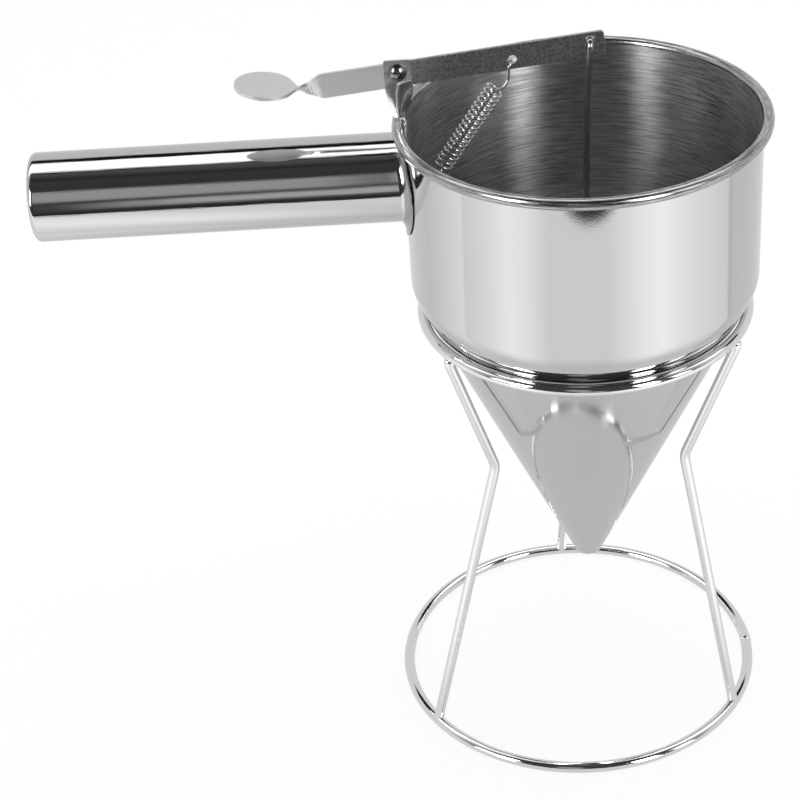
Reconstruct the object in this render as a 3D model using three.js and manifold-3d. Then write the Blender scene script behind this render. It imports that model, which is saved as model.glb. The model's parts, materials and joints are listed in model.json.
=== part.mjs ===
// Hand-held batter dispensing funnel on its wire stand, closed by a spring lever.
// Millimetres, +Z up. The floor is z = 0 and the handle points along -X.
// Every piece is drawn around the funnel's own upright axis, and the last lines
// move the whole assembly so that the origin lies under the middle of its length.

import * as THREE from "three";
import { mergeVertices } from "three/addons/utils/BufferGeometryUtils.js";
import Module from "manifold-3d";

// Clearances
const seatGap = 0.3;
const cutOverrun = 4;

// Hopper: cup, rolled rim, soft shoulder and cone
const cupOuterRadius = 60.2;
const cupHeight = 61;
const sheet = 0.8;
const rimCurlRadius = 2;
const rimCurlMouth = 0.5;
const shoulderRadius = 12;
const coneHeight = 120.6;
const tipOuterRadius = 4.6;
const tipEdgeRadius = 0.5;
const seamDrop = 6;

// Stand of round wire
const ringHeight = 160.9;
const shoulderAboveRing = 12.6;
const topWireRadius = 1.9;
const baseWireRadius = 2;
const legWireRadius = 1.8;
const baseRingRadius = 65.85;
const baseShift = 4.9;
const kneeBendRadius = 9;
const weldSwell = 0.35;
const weldLength = 2.6;

// Hand-welded legs: direction, end's place outside and below the top ring's middle, and the
// knee's drop below the top ring and distance from the cone's wall
const legs = {
  rear_leg: { angle: 91.5, topOut: 1.5, topDrop: 1.2, kneeDrop: 53.1, kneeGap: 10.29 },
  front_left_leg: { angle: 212.9, topOut: 2.3, topDrop: 0.8, kneeDrop: 52.8, kneeGap: 10.55 },
  front_right_leg: { angle: 328.8, topOut: 0.9, topDrop: 2.2, kneeDrop: 53.6, kneeGap: 9.22 },
};

// Handle tube, its flared collar and its end cap
const handleRadius = 15.2;
const handleWall = 0.8;
const handleReach = 125.9;
const handleBelowRim = 1.1;
const collarRadius = 18.3;
const collarSag = 1.9;
const flareLength = 3.2;
const flareTilt = 1.4;
const collarStraight = 0.5;
const collarLip = 1;
const collarSpigotLength = 9;
const collarSpigotWall = 1.2;
const capDepth = 2.2;
const capEdgeRadius = 1.9;
const capSpigotLength = 4;
const capSpigotWall = 1.2;

// Lever: a flat strip on edge, twisted a quarter turn into a round thumb pad
const pivotRise = 18.7;
const stripWidth = 8.5;
const stripThickness = 1.2;
const stripDrop = 1.4;
const stripEndCorner = 0.8;
const stripPastRod = 4.7;
const restAngle = 6;
const twistStart = 25;
const twistEnd = 37;
const neckWidth = 6;
const neckTaper = 4;
const padRadius = 10.15;
const padReach = 44.4;
const padShoulderAngle = 38;
const padTilt = 13.2;

// Bracket of one sheet, flat ear above and folded tongue below, and its rivet
const earLeft = 4.4;
const earRight = 4.8;
const earRise = 4.3;
const bracketSheet = 1;
const tongueWidth = 4.6;
const tabHeight = 10;
const tabThickness = 0.9;
const tabWidth = 8;

// Stations down the tongue. Heights are shares of the height from the ear's top to the tab's
// top. The left edge, the fold and the right edge are shares of the ear's width from its left
// side. The depths of the fold and of the right edge are shares of the tongue's width.
const tongueStations = [
  { heightShare: 0, leftShare: 0.05, foldShare: 0.5, rightShare: 0.95, foldDepthShare: 0, backShare: 0 },
  { heightShare: 0.03, leftShare: 0, foldShare: 0.5, rightShare: 1, foldDepthShare: 0, backShare: 0 },
  { heightShare: 0.42, leftShare: 0.01, foldShare: 0.5, rightShare: 1, foldDepthShare: 0, backShare: 0 },
  { heightShare: 0.475, leftShare: 0.03, foldShare: 0.43, rightShare: 0.99, foldDepthShare: 0.07, backShare: 0.4 },
  { heightShare: 0.55, leftShare: 0.065, foldShare: 0.41, rightShare: 0.97, foldDepthShare: 0.14, backShare: 0.68 },
  { heightShare: 0.64, leftShare: 0.13, foldShare: 0.42, rightShare: 0.9, foldDepthShare: 0.18, backShare: 0.78 },
  { heightShare: 0.74, leftShare: 0.23, foldShare: 0.45, rightShare: 0.79, foldDepthShare: 0.2, backShare: 0.84 },
  { heightShare: 0.85, leftShare: 0.38, foldShare: 0.52, rightShare: 0.69, foldDepthShare: 0.2, backShare: 0.88 },
];
const rivetRadius = 1.5;
const rivetHeadRadius = 2.75;
const rivetHeadHeight = 1.6;
const rivetTailRadius = 2.5;
const rivetTailHeight = 1;

// Valve rod and plug
const rodRadius = 1.15;
const rodLean = 3.1;
const rodHoleRise = 1.6;
const rodTail = 4.2;
const rodBowDrop = 24;
const rodBowLean = 1.6;
const rodStraightRise = 62;
const rodSweepRadius = 45;
const plugLength = 9;
const plugAboveTip = 0.9;
const plugNoseRadius = 2.4;
const plugBossRadius = 3;
const plugBossHeight = 3.5;
const plugSocketDepth = 7;

// Return spring, close wound, with an open hook at each end
const springWireRadius = 0.45;
const springMeanRadius = 2.95;
const springCurls = 17;
const springCoilLength = 33.5;
const springHookRadius = 2;
const springHookStart = 110;
const springHookEnd = -90;
const springAside = 1;
const springBow = 1.8;
const springHoleReach = 37.8;
const springHoleDrop = 0.9;
const springHoleRadius = 1.5;
const lugDrop = 26;
const lugReach = 4.9;
const lugThickness = 1;
const lugEyeRadius = 1.1;
const lugRim = 1.5;
const lugFootShare = 1.3;

// Facet counts
const roundSteps = 72;
const handleSteps = 48;
const smallSteps = 24;
const wireSides = 10;
const springSides = 5;
const stepsPerCurl = 8;
const hookSteps = 7;
const leadSteps = 6;

// Values that follow from the sizes above
const degree = Math.PI / 180;
const cupInnerRadius = cupOuterRadius - sheet;
const rimOuterRadius = cupInnerRadius + rimCurlRadius * 2;
const coneSlope = (cupOuterRadius - tipOuterRadius) / coneHeight;
const coneAngle = Math.atan(coneSlope);
const coneSheetAcross = sheet / Math.cos(coneAngle);
const shoulderHeight = ringHeight + shoulderAboveRing;
const tipHeight = shoulderHeight - coneHeight;
const rimTop = shoulderHeight + cupHeight;
const rimCentreRadius = cupInnerRadius + rimCurlRadius;
const rimCentreHeight = rimTop - rimCurlRadius;
const seamHeight = shoulderHeight - seamDrop;
const coneOuterAt = (z) => tipOuterRadius + (z - tipHeight) * coneSlope;
const coneInnerAt = (z) => coneOuterAt(z) - coneSheetAcross;
const topRingRadius = coneOuterAt(ringHeight) + (topWireRadius + seatGap) / Math.cos(coneAngle);
const handleDrop = rimCurlRadius * 2 + handleBelowRim + handleRadius;
const handleHeight = rimTop - handleDrop;
const handleEnd = -(cupOuterRadius + handleReach);
const handleInnerRadius = handleRadius - handleWall;
const tubeStart = handleEnd + capDepth;
const tubeEnd = -(cupOuterRadius + seatGap + flareLength + flareTilt + collarStraight);
const pivot = new THREE.Vector3(-cupOuterRadius, 0, rimTop + pivotRise);
const stripHalf = stripThickness / 2;
const earInner = stripHalf + seatGap;
const earOuter = earInner + bracketSheet;

// Place of a point that is given along the lever and across it, at rest
function onLever(along, across) {
  const angle = restAngle * degree;
  return new THREE.Vector3(
    pivot.x + along * Math.cos(angle) - across * Math.sin(angle),
    0,
    pivot.z + along * Math.sin(angle) + across * Math.cos(angle),
  );
}

const rodHoleAcross = rodHoleRise - stripDrop;
const rodHoleReach =
  (rodLean - pivot.x + rodHoleAcross * Math.sin(restAngle * degree)) / Math.cos(restAngle * degree);
const rodHole = onLever(rodHoleReach, rodHoleAcross);
const rodHookHalf = stripHalf + seatGap + rodRadius;
const rodHoleRadius = rodRadius + seatGap * 1.5;
const springHole = onLever(springHoleReach, -stripDrop - springHoleDrop);
const lugEye = new THREE.Vector3(-(cupInnerRadius - lugReach), 0, rimTop - lugDrop);

const wasm = await Module();
wasm.setup();

// Finishes
const mirrorSteel = { color: 0xd6d6d8, roughness: 0.08, metalness: 1 };
const brushedSteel = { color: 0xb4b3b2, roughness: 0.28, metalness: 1 };
const leverSteel = { color: 0x77787a, roughness: 0.45, metalness: 1 };
const wireSteel = { color: 0xcfcfd1, roughness: 0.15, metalness: 1 };
const springSteel = { color: 0xc8c8c8, roughness: 0.2, metalness: 1 };

function piece(name, geometry, finish) {
  const mesh = new THREE.Mesh(geometry, new THREE.MeshStandardMaterial(finish));
  mesh.name = name;
  return mesh;
}

// Mesh tools: facing, closed grids, revolved profiles, bent wires, cuts and joins

function signedVolume(geometry) {
  const flat = geometry.index ? geometry.toNonIndexed() : geometry;
  const place = flat.getAttribute("position");
  const a = new THREE.Vector3();
  const b = new THREE.Vector3();
  const c = new THREE.Vector3();
  let sum = 0;
  for (let i = 0; i < place.count; i += 3) {
    a.fromBufferAttribute(place, i);
    b.fromBufferAttribute(place, i + 1);
    c.fromBufferAttribute(place, i + 2);
    sum += a.dot(b.cross(c));
  }
  return sum;
}

// Bare positions with shared vertices, faces turned to point outwards
function faced(geometry) {
  geometry.deleteAttribute("normal");
  geometry.deleteAttribute("uv");
  const merged = mergeVertices(geometry);
  if (signedVolume(merged) < 0) {
    const index = merged.getIndex().array;
    for (let i = 0; i < index.length; i += 3) {
      [index[i], index[i + 1]] = [index[i + 1], index[i]];
    }
  }
  merged.computeVertexNormals();
  return merged;
}

// Solid skin over rings of equal count, joined end to end or closed by flat caps
function gridSolid(rings, joined) {
  const sides = rings[0].length;
  const points = rings.flat();
  const triangles = [];
  const last = joined ? rings.length : rings.length - 1;
  for (let row = 0; row < last; row += 1) {
    const next = (row + 1) % rings.length;
    for (let side = 0; side < sides; side += 1) {
      const a = row * sides + side;
      const b = row * sides + ((side + 1) % sides);
      const c = next * sides + side;
      const d = next * sides + ((side + 1) % sides);
      triangles.push(a, b, d, a, d, c);
    }
  }
  if (!joined) {
    const end = (rings.length - 1) * sides;
    for (let side = 1; side < sides - 1; side += 1) {
      triangles.push(0, side + 1, side);
      triangles.push(end, end + side, end + side + 1);
    }
  }
  const geometry = new THREE.BufferGeometry().setFromPoints(points);
  geometry.setIndex(triangles);
  return faced(geometry);
}

function ordered(loop) {
  const closed = loop.map(([r, h]) => new THREE.Vector2(r, h));
  const first = closed[0];
  const last = closed[closed.length - 1];
  const onAxis = first.x === 0 && last.x === 0;
  return onAxis ? closed : [...closed, first.clone()];
}

// Profile of [radius, height] pairs turned about Z
function revolved(loop, steps) {
  const geometry = new THREE.LatheGeometry(ordered(loop), steps);
  geometry.rotateX(90 * degree);
  return faced(geometry);
}

// The same profile turned about the handle's axis, height being the place along X
function revolvedAlongHandle(loop, steps) {
  const geometry = revolved(loop, steps);
  geometry.rotateY(90 * degree);
  geometry.translate(0, 0, handleHeight);
  return geometry;
}

// Points [r, h] of an arc about a centre
function arc(centreR, centreH, radius, from, to, steps) {
  return Array.from({ length: steps + 1 }, (_, i) => {
    const angle = (from + ((to - from) * i) / steps) * degree;
    return [centreR + radius * Math.cos(angle), centreH + radius * Math.sin(angle)];
  });
}

// Corner points of a path, each inner corner rounded to the bend radius
function bentPath(corners, bendRadius, steps) {
  const path = [corners[0].clone()];
  for (let i = 1; i < corners.length - 1; i += 1) {
    const corner = corners[i];
    const back = corners[i - 1].clone().sub(corner).normalize();
    const ahead = corners[i + 1].clone().sub(corner).normalize();
    const half = back.angleTo(ahead) / 2;
    const reach = bendRadius / Math.tan(half);
    const centre = back.clone().add(ahead).normalize().multiplyScalar(bendRadius / Math.sin(half));
    centre.add(corner);
    const start = corner.clone().addScaledVector(back, reach).sub(centre);
    const end = corner.clone().addScaledVector(ahead, reach).sub(centre);
    const sweep = start.angleTo(end);
    for (let k = 0; k <= steps; k += 1) {
      const share = k / steps;
      const point = start.clone().multiplyScalar(Math.sin((1 - share) * sweep) / Math.sin(sweep));
      point.addScaledVector(end, Math.sin(share * sweep) / Math.sin(sweep)).add(centre);
      path.push(point);
    }
  }
  path.push(corners[corners.length - 1].clone());
  return path.filter((point, i) => i === 0 || point.distanceTo(path[i - 1]) > seatGap / 10);
}

function tangentAt(path, i) {
  const before = path[Math.max(i - 1, 0)];
  const after = path[Math.min(i + 1, path.length - 1)];
  return after.clone().sub(before).normalize();
}

// Round wire along a path, its radius given by a function of the length from the start
function wire(path, radiusAt, sides) {
  const guess = Math.abs(tangentAt(path, 0).y) > 0.9 ? new THREE.Vector3(1, 0, 0) : new THREE.Vector3(0, 1, 0);
  let across = guess;
  let length = 0;
  const rings = path.map((point, i) => {
    const tangent = tangentAt(path, i);
    across = across.clone().addScaledVector(tangent, -across.dot(tangent)).normalize();
    const other = tangent.clone().cross(across);
    length += i > 0 ? point.distanceTo(path[i - 1]) : 0;
    const radius = radiusAt(length);
    return Array.from({ length: sides }, (_, side) => {
      const turn = (side / sides) * 2 * Math.PI;
      return point
        .clone()
        .addScaledVector(across, radius * Math.cos(turn))
        .addScaledVector(other, radius * Math.sin(turn));
    });
  });
  return gridSolid(rings, false);
}

// Flat outline in the XZ plane, thickened evenly about y = 0
function plate(shape, thickness, curveSteps) {
  const geometry = new THREE.ExtrudeGeometry(shape, {
    depth: thickness,
    bevelEnabled: false,
    curveSegments: curveSteps,
  });
  geometry.rotateX(90 * degree);
  geometry.translate(0, thickness / 2, 0);
  return faced(geometry);
}

// Round bar along Y, for pins and for boring holes
function crossBar(radius, length, centre) {
  const geometry = new THREE.CylinderGeometry(radius, radius, length, smallSteps);
  geometry.translate(centre.x, centre.y, centre.z);
  return faced(geometry);
}

function toManifold(geometry) {
  const place = geometry.getAttribute("position");
  return new wasm.Manifold(
    new wasm.Mesh({
      numProp: 3,
      vertProperties: new Float32Array(place.array),
      triVerts: new Uint32Array(geometry.getIndex().array),
    }),
  );
}

function fromManifold(solid) {
  const mesh = solid.getMesh();
  const geometry = new THREE.BufferGeometry();
  geometry.setAttribute("position", new THREE.BufferAttribute(mesh.vertProperties, 3));
  geometry.setIndex(new THREE.BufferAttribute(mesh.triVerts, 1));
  return faced(geometry);
}

function cut(body, ...tools) {
  return fromManifold(tools.reduce((solid, tool) => solid.subtract(toManifold(tool)), toManifold(body)));
}

function join(body, ...others) {
  return fromManifold(others.reduce((solid, other) => solid.add(toManifold(other)), toManifold(body)));
}

// Hopper

// One sheet section: up the inside, round the open curl, down the outside, round the shoulder
function cupProfile() {
  const turn = coneAngle / degree;
  const shoulderCentreR = cupOuterRadius - shoulderRadius;
  const shoulderCentreH = shoulderHeight + shoulderRadius * Math.tan(coneAngle / 2);
  const curlInside = rimCurlRadius - sheet;
  const mouthAngle = -Math.acos((cupOuterRadius + rimCurlMouth - rimCentreRadius) / rimCurlRadius) / degree;
  return [
    [coneInnerAt(seamHeight), seamHeight],
    ...arc(shoulderCentreR, shoulderCentreH, shoulderRadius - sheet, -turn, 0, 3),
    ...arc(rimCentreRadius, rimCentreHeight, rimCurlRadius, 180, mouthAngle, 9),
    ...arc(rimCentreRadius, rimCentreHeight, curlInside, mouthAngle, 180, 7),
    ...arc(shoulderCentreR, shoulderCentreH, shoulderRadius, 0, -turn, 3),
    [coneOuterAt(seamHeight), seamHeight],
  ];
}

function coneProfile() {
  const edge = tipEdgeRadius;
  const edgeHeight = tipHeight + edge;
  return [
    [coneOuterAt(seamHeight), seamHeight],
    [coneOuterAt(ringHeight), ringHeight],
    ...arc(coneOuterAt(edgeHeight) - edge, edgeHeight, edge, 0, -90, 3),
    [coneInnerAt(tipHeight), tipHeight],
    [coneInnerAt(seamHeight), seamHeight],
  ];
}

// Handle

// The collar's edge is round and sits a little low; it is flat above, where it passes
// under the rolled rim
function collarEdgeRadius(angle) {
  const headroom = handleRadius + handleBelowRim - seatGap;
  const rise = Math.sin(angle);
  const free = collarRadius - collarSag * rise;
  return rise * free > headroom ? headroom / rise : free;
}

// How far the cup's wall lies from the axis at a given width across the handle
function cupWallX(y) {
  const clear = cupOuterRadius + seatGap;
  return -Math.sqrt(clear * clear - y * y);
}

// A ring about the handle's axis, its radius and its place along X set by the angle
function collarRing(radiusAt, placeAt) {
  return Array.from({ length: handleSteps }, (_, i) => {
    const angle = (i / handleSteps) * 2 * Math.PI;
    const radius = radiusAt(angle);
    const y = radius * Math.cos(angle);
    return new THREE.Vector3(placeAt(y, angle), y, handleHeight + radius * Math.sin(angle));
  });
}

// Concave trumpet that ends in a saddle against the round cup, longer above than below
function flareRings(startRadius, edgeInset, steps) {
  return Array.from({ length: steps + 1 }, (_, i) => {
    const swing = (i / steps) * 90 * degree;
    const opening = 1 - Math.cos(swing);
    const radiusAt = (angle) => startRadius + (collarEdgeRadius(angle) - edgeInset - startRadius) * opening;
    const placeAt = (y, angle) => {
      const start = cupWallX(startRadius * Math.cos(angle)) - flareLength - flareTilt * Math.sin(angle);
      return start + (cupWallX(y) - start) * Math.sin(swing);
    };
    return collarRing(radiusAt, placeAt);
  });
}

function collar() {
  const spigotOuter = handleInnerRadius - seatGap;
  const bore = spigotOuter - collarSpigotWall;
  const spigotEnd = tubeEnd - collarSpigotLength;
  const outside = flareRings(handleRadius, 0, 5);
  const inside = flareRings(bore, collarLip, 4).reverse();
  const rings = [
    collarRing(() => bore, () => spigotEnd),
    collarRing(() => spigotOuter, () => spigotEnd),
    collarRing(() => spigotOuter, () => tubeEnd),
    collarRing(() => handleRadius, () => tubeEnd),
    ...outside,
    ...inside,
  ];
  return gridSolid(rings, true);
}

function tubeProfile() {
  return [
    [handleInnerRadius, tubeStart],
    [handleRadius, tubeStart],
    [handleRadius, tubeEnd],
    [handleInnerRadius, tubeEnd],
  ];
}

function capProfile() {
  const spigotOuter = handleInnerRadius - seatGap;
  const spigotInner = spigotOuter - capSpigotWall;
  const roundCentre = handleRadius - capEdgeRadius;
  return [
    [0, handleEnd],
    ...arc(roundCentre, handleEnd + capEdgeRadius, capEdgeRadius, -90, 0, 4),
    [handleRadius, tubeStart],
    [spigotOuter, tubeStart],
    [spigotOuter, tubeStart + capSpigotLength],
    [spigotInner, tubeStart + capSpigotLength],
    [spigotInner, tubeStart],
    [0, tubeStart],
  ];
}

// Lever

// Half the strip's width at a distance from the pivot, towards the thumb
function leverHalfWidth(reach) {
  const neck = neckWidth / 2;
  const shoulder = padShoulderAngle * degree;
  const beforePad = padReach - reach;
  const tangentAlong = padRadius * Math.cos(shoulder);
  const tangentAcross = padRadius * Math.sin(shoulder);
  if (beforePad < tangentAlong) {
    return Math.sqrt(Math.max(padRadius * padRadius - beforePad * beforePad, 0));
  }
  const taper = THREE.MathUtils.smoothstep(reach, twistStart, twistStart + neckTaper);
  const strip = THREE.MathUtils.lerp(stripWidth / 2, neck, taper);
  const fan = tangentAcross - (beforePad - tangentAlong) / Math.tan(shoulder);
  return Math.max(strip, fan);
}

// The strip's section at a distance from the pivot, in the lever's own frame
function leverSection(reach, halfWidth) {
  const turn = THREE.MathUtils.smoothstep(reach, twistStart, twistEnd);
  const twist = turn * 90 * degree;
  const bendStart = (twistStart + twistEnd) / 2;
  const pastBend = Math.max(reach - bendStart, 0);
  const tilt = padTilt * degree;
  const centre = new THREE.Vector3(-reach, 0, -stripDrop);
  centre.x += pastBend * (1 - Math.cos(tilt));
  centre.z += pastBend * Math.sin(tilt);
  const lean = turn * tilt;
  const wide = new THREE.Vector3(0, -Math.sin(twist), Math.cos(twist));
  const thick = new THREE.Vector3(0, Math.cos(twist), Math.sin(twist));
  return [[1, 1], [-1, 1], [-1, -1], [1, -1]].map(([w, t]) => {
    const offset = wide.clone().multiplyScalar(w * halfWidth).addScaledVector(thick, t * stripHalf);
    offset.applyAxisAngle(new THREE.Vector3(0, 1, 0), lean);
    return offset.add(centre);
  });
}

function leverReaches() {
  const end = -(rodHoleReach + stripPastRod);
  const reaches = [[end, stripWidth / 2 - stripEndCorner], [end + stripEndCorner, stripWidth / 2]];
  const neckSteps = 14;
  const padStart = padReach - padRadius * Math.cos(padShoulderAngle * degree);
  for (let i = 0; i < neckSteps; i += 1) {
    const reach = THREE.MathUtils.lerp(twistStart, padStart, i / neckSteps);
    reaches.push([reach, leverHalfWidth(reach)]);
  }
  const padSteps = 16;
  for (let i = 0; i < padSteps; i += 1) {
    const angle = THREE.MathUtils.lerp(padShoulderAngle, 180, i / padSteps) * degree;
    reaches.push([padReach - padRadius * Math.cos(angle), padRadius * Math.sin(angle)]);
  }
  return reaches;
}

function lever() {
  const blank = gridSolid(leverReaches().map(([reach, half]) => leverSection(reach, half)), false);
  const depth = stripThickness + cutOverrun;
  return cut(
    blank,
    crossBar(rivetRadius + seatGap, depth, new THREE.Vector3(0, 0, 0)),
    crossBar(rodHoleRadius, depth, new THREE.Vector3(rodHoleReach, 0, rodHoleAcross)),
    crossBar(springHoleRadius, depth, new THREE.Vector3(springHoleReach, 0, -stripDrop - springHoleDrop)),
  );
}

// Bracket

// Curved strip that lies on the inside of the cup's wall
function wallTab(width, top, bottom, thickness) {
  const outer = cupInnerRadius - seatGap;
  const inner = outer - thickness;
  const half = width / 2 / outer;
  const steps = 6;
  const rings = Array.from({ length: steps + 1 }, (_, i) => {
    const angle = THREE.MathUtils.lerp(-half, half, i / steps);
    const at = (radius, z) => new THREE.Vector3(-radius * Math.cos(angle), radius * Math.sin(angle), z);
    return [at(inner, bottom), at(outer, bottom), at(outer, top), at(inner, top)];
  });
  return gridSolid(rings, false);
}

// Middle line of the bracket's sheet at one station: left edge, rounded fold, right edge
function tongueLine(station) {
  const width = earLeft + earRight;
  const left = pivot.x - earLeft;
  const flat = -(earInner + bracketSheet / 2);
  const edge = new THREE.Vector2(left + width * station.leftShare, flat);
  const fold = new THREE.Vector2(left + width * station.foldShare, flat - tongueWidth * station.foldDepthShare);
  const back = new THREE.Vector2(left + width * station.rightShare, flat + tongueWidth * station.backShare);
  const near = edge.clone().lerp(fold, 1 / 2);
  const far = fold.clone().lerp(back, 1 / 3);
  const bend = [0, 1 / 4, 1 / 2, 3 / 4, 1].map((share) =>
    near.clone().lerp(fold, share).lerp(fold.clone().lerp(far, share), share),
  );
  return [edge, ...bend, back];
}

// Closed section of even thickness about a middle line, at one height
function sheetSection(line, thickness, z) {
  const offset = line.map((_, i) => {
    const along = line[Math.min(i + 1, line.length - 1)].clone().sub(line[Math.max(i - 1, 0)]).normalize();
    return new THREE.Vector2(along.y, -along.x).multiplyScalar(thickness / 2);
  });
  const front = line.map((point, i) => point.clone().add(offset[i]));
  const rear = line.map((point, i) => point.clone().sub(offset[i])).reverse();
  return [...front, ...rear].map((point) => new THREE.Vector3(point.x, point.y, z));
}

// Middle line of the tab that lies on the inside of the cup's wall
function tabLine(count) {
  const radius = cupInnerRadius - seatGap - tabThickness / 2;
  const half = tongueWidth / 2 / radius;
  return Array.from({ length: count }, (_, i) => {
    const angle = THREE.MathUtils.lerp(half, -half, i / (count - 1));
    return new THREE.Vector2(-radius * Math.cos(angle), -radius * Math.sin(angle));
  });
}

function bracket() {
  const top = pivot.z + earRise;
  const tabTop = rimTop + seatGap;
  const rings = tongueStations.map((station) =>
    sheetSection(tongueLine(station), bracketSheet, top - (top - tabTop) * station.heightShare),
  );
  const tab = tabLine(tongueLine(tongueStations[0]).length);
  const tabBottom = rimTop - tabHeight;
  rings.push(sheetSection(tab, tabThickness, tabTop), sheetSection(tab, tabThickness, tabBottom));
  return cut(gridSolid(rings, false), crossBar(rivetRadius + seatGap, earOuter * 2 + cutOverrun, pivot));
}

// Domed head towards -Y, shank, and the flattened tail behind
function rivet() {
  const dome = Array.from({ length: 5 }, (_, i) => {
    const angle = (i / 4) * 90 * degree;
    return [rivetHeadRadius * Math.sin(angle), -earOuter - rivetHeadHeight * Math.cos(angle)];
  });
  const loop = [
    ...dome,
    [rivetRadius, -earOuter],
    [rivetRadius, earInner],
    [rivetTailRadius, earInner],
    [rivetTailRadius, earInner + rivetTailHeight / 2],
    [rivetRadius, earInner + rivetTailHeight],
    [0, earInner + rivetTailHeight],
  ];
  const geometry = new THREE.LatheGeometry(ordered(loop), smallSteps);
  geometry.translate(pivot.x, pivot.y, pivot.z);
  return faced(geometry);
}

// Spring lug: a curved foot on the wall with an upright eye
function springLug() {
  const eyeOuter = lugEyeRadius + lugRim;
  const root = -(cupInnerRadius - seatGap - tabThickness / 2);
  const shape = new THREE.Shape();
  shape.moveTo(root, lugEye.z - eyeOuter);
  shape.lineTo(lugEye.x, lugEye.z - eyeOuter);
  shape.absarc(lugEye.x, lugEye.z, eyeOuter, -90 * degree, 90 * degree, false);
  shape.lineTo(root, lugEye.z + eyeOuter);
  shape.lineTo(root, lugEye.z - eyeOuter);
  const footHalf = eyeOuter * lugFootShare;
  const foot = wallTab(tabWidth, lugEye.z + footHalf, lugEye.z - footHalf, tabThickness);
  const eye = crossBar(lugEyeRadius, lugThickness + cutOverrun, lugEye);
  return cut(join(plate(shape, lugThickness, 8), foot), eye);
}

// Valve

function rodPath() {
  const tailTop = new THREE.Vector3(rodHole.x, rodHookHalf, rodHole.z);
  const frontTop = new THREE.Vector3(rodHole.x, -rodHookHalf, rodHole.z);
  const bow = new THREE.Vector3(rodBowLean, -rodHookHalf, rodHole.z - rodBowDrop);
  const guide = new THREE.Vector3(0, 0, tipHeight + rodStraightRise);
  const tail = tailTop.clone();
  tail.z -= rodTail;
  const hook = bentPath([tail, tailTop, frontTop, bow], rodHookHalf, 5);
  const foot = new THREE.Vector3(0, 0, tipHeight + plugAboveTip + plugLength - plugSocketDepth);
  const shaft = bentPath([frontTop, bow, guide, foot], rodSweepRadius, 4);
  return [...hook.slice(0, -1), ...shaft.slice(1)];
}

// Tapered plug that sits in the cone's throat, bored for the rod
function plugProfile() {
  const low = tipHeight + plugAboveTip;
  const high = low + plugLength;
  const clear = seatGap / Math.cos(coneAngle);
  const socket = rodRadius + seatGap;
  const socketFloor = high - plugSocketDepth;
  const waist = low + plugLength - plugBossHeight;
  return [
    [0, low],
    [plugNoseRadius, low],
    [coneInnerAt(low + plugAboveTip) - clear, low + plugAboveTip],
    [coneInnerAt(waist) - clear, waist],
    [plugBossRadius, waist + plugAboveTip],
    [plugBossRadius, high],
    [socket, high],
    [socket, socketFloor],
    [0, socketFloor],
  ];
}

// Spring

// One end of the spring's wire: hooks through an eye and runs, bowed to one side, to the
// coil. Given are the eye's centre, the way back to the coil, to the front and to the side,
// the length that the hook and its lead take, and how far to the front the wire meets the coil.
function hookPoints(eye, inward, front, side, leadLength, meet) {
  const centre = eye.clone().addScaledVector(inward, springHookRadius);
  const points = [];
  for (let i = 0; i <= hookSteps; i += 1) {
    const angle = THREE.MathUtils.lerp(springHookStart, springHookEnd, i / hookSteps) * degree;
    const point = centre.clone().addScaledVector(inward, -springHookRadius * Math.cos(angle));
    points.push(point.addScaledVector(front, -springHookRadius * Math.sin(angle)));
  }
  for (let i = 1; i < leadSteps; i += 1) {
    const share = i / leadSteps;
    const run = THREE.MathUtils.lerp(springHookRadius, leadLength, share);
    const point = eye.clone().addScaledVector(inward, run);
    point.addScaledVector(side, springAside * share + springBow * Math.sin(share * Math.PI));
    points.push(point.addScaledVector(front, THREE.MathUtils.lerp(springHookRadius, meet, share)));
  }
  return points;
}

// Whole wire of the spring: lower hook, evenly pitched curls, upper hook
function springPath() {
  const toLever = springHole.clone().sub(lugEye).normalize();
  const eyeSlack = lugEyeRadius - springWireRadius - seatGap;
  const holeSlack = springHoleRadius - springWireRadius - seatGap * 2;
  const low = lugEye.clone().addScaledVector(toLever, eyeSlack);
  const high = springHole.clone().addScaledVector(toLever, -holeSlack);
  const hook = (low.distanceTo(high) - springCoilLength) / 2;
  const front = new THREE.Vector3(0, -1, 0);
  const side = toLever.clone().cross(front);
  const away = toLever.clone().negate();
  const lower = hookPoints(low, toLever, front, side, hook, -springMeanRadius);
  const upper = hookPoints(high, away, front, side, hook, springMeanRadius).reverse();
  const coil = [];
  const coilSteps = springCurls * stepsPerCurl + stepsPerCurl / 2;
  for (let i = 0; i <= coilSteps; i += 1) {
    const turn = (180 + (i / stepsPerCurl) * 360) * degree;
    const point = low.clone().addScaledVector(toLever, hook + (springCoilLength * i) / coilSteps);
    point.addScaledVector(front, springMeanRadius * Math.cos(turn));
    coil.push(point.addScaledVector(side, springAside + springMeanRadius * Math.sin(turn)));
  }
  return [...lower, ...coil, ...upper];
}

// Least clear space between the spring's wire and itself, measured on its path's points
function leastGap(path, radius) {
  let least = Infinity;
  for (let i = 0; i < path.length; i += 1) {
    for (let k = i + stepsPerCurl / 2; k < path.length; k += 1) {
      least = Math.min(least, path[i].distanceTo(path[k]));
    }
  }
  return least - radius * 2;
}

// Stand

// Ring of wire whose section has a flat side below, so that it stands on a face
function wireRing(radius, height, wireRadius) {
  const corner = wireRadius / Math.cos(Math.PI / wireSides);
  const loop = Array.from({ length: wireSides }, (_, i) => {
    const angle = -Math.PI / 2 + ((i + 1 / 2) / wireSides) * 2 * Math.PI;
    return [radius + corner * Math.cos(angle), height + corner * Math.sin(angle)];
  });
  return revolved(loop, roundSteps);
}

// Round tool that leaves the clearance of a welded joint round a ring's wire
function ringTool(radius, height, wireRadius) {
  const geometry = new THREE.TorusGeometry(radius, wireRadius + seatGap, smallSteps, roundSteps);
  geometry.translate(0, 0, height);
  return faced(geometry);
}

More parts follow.
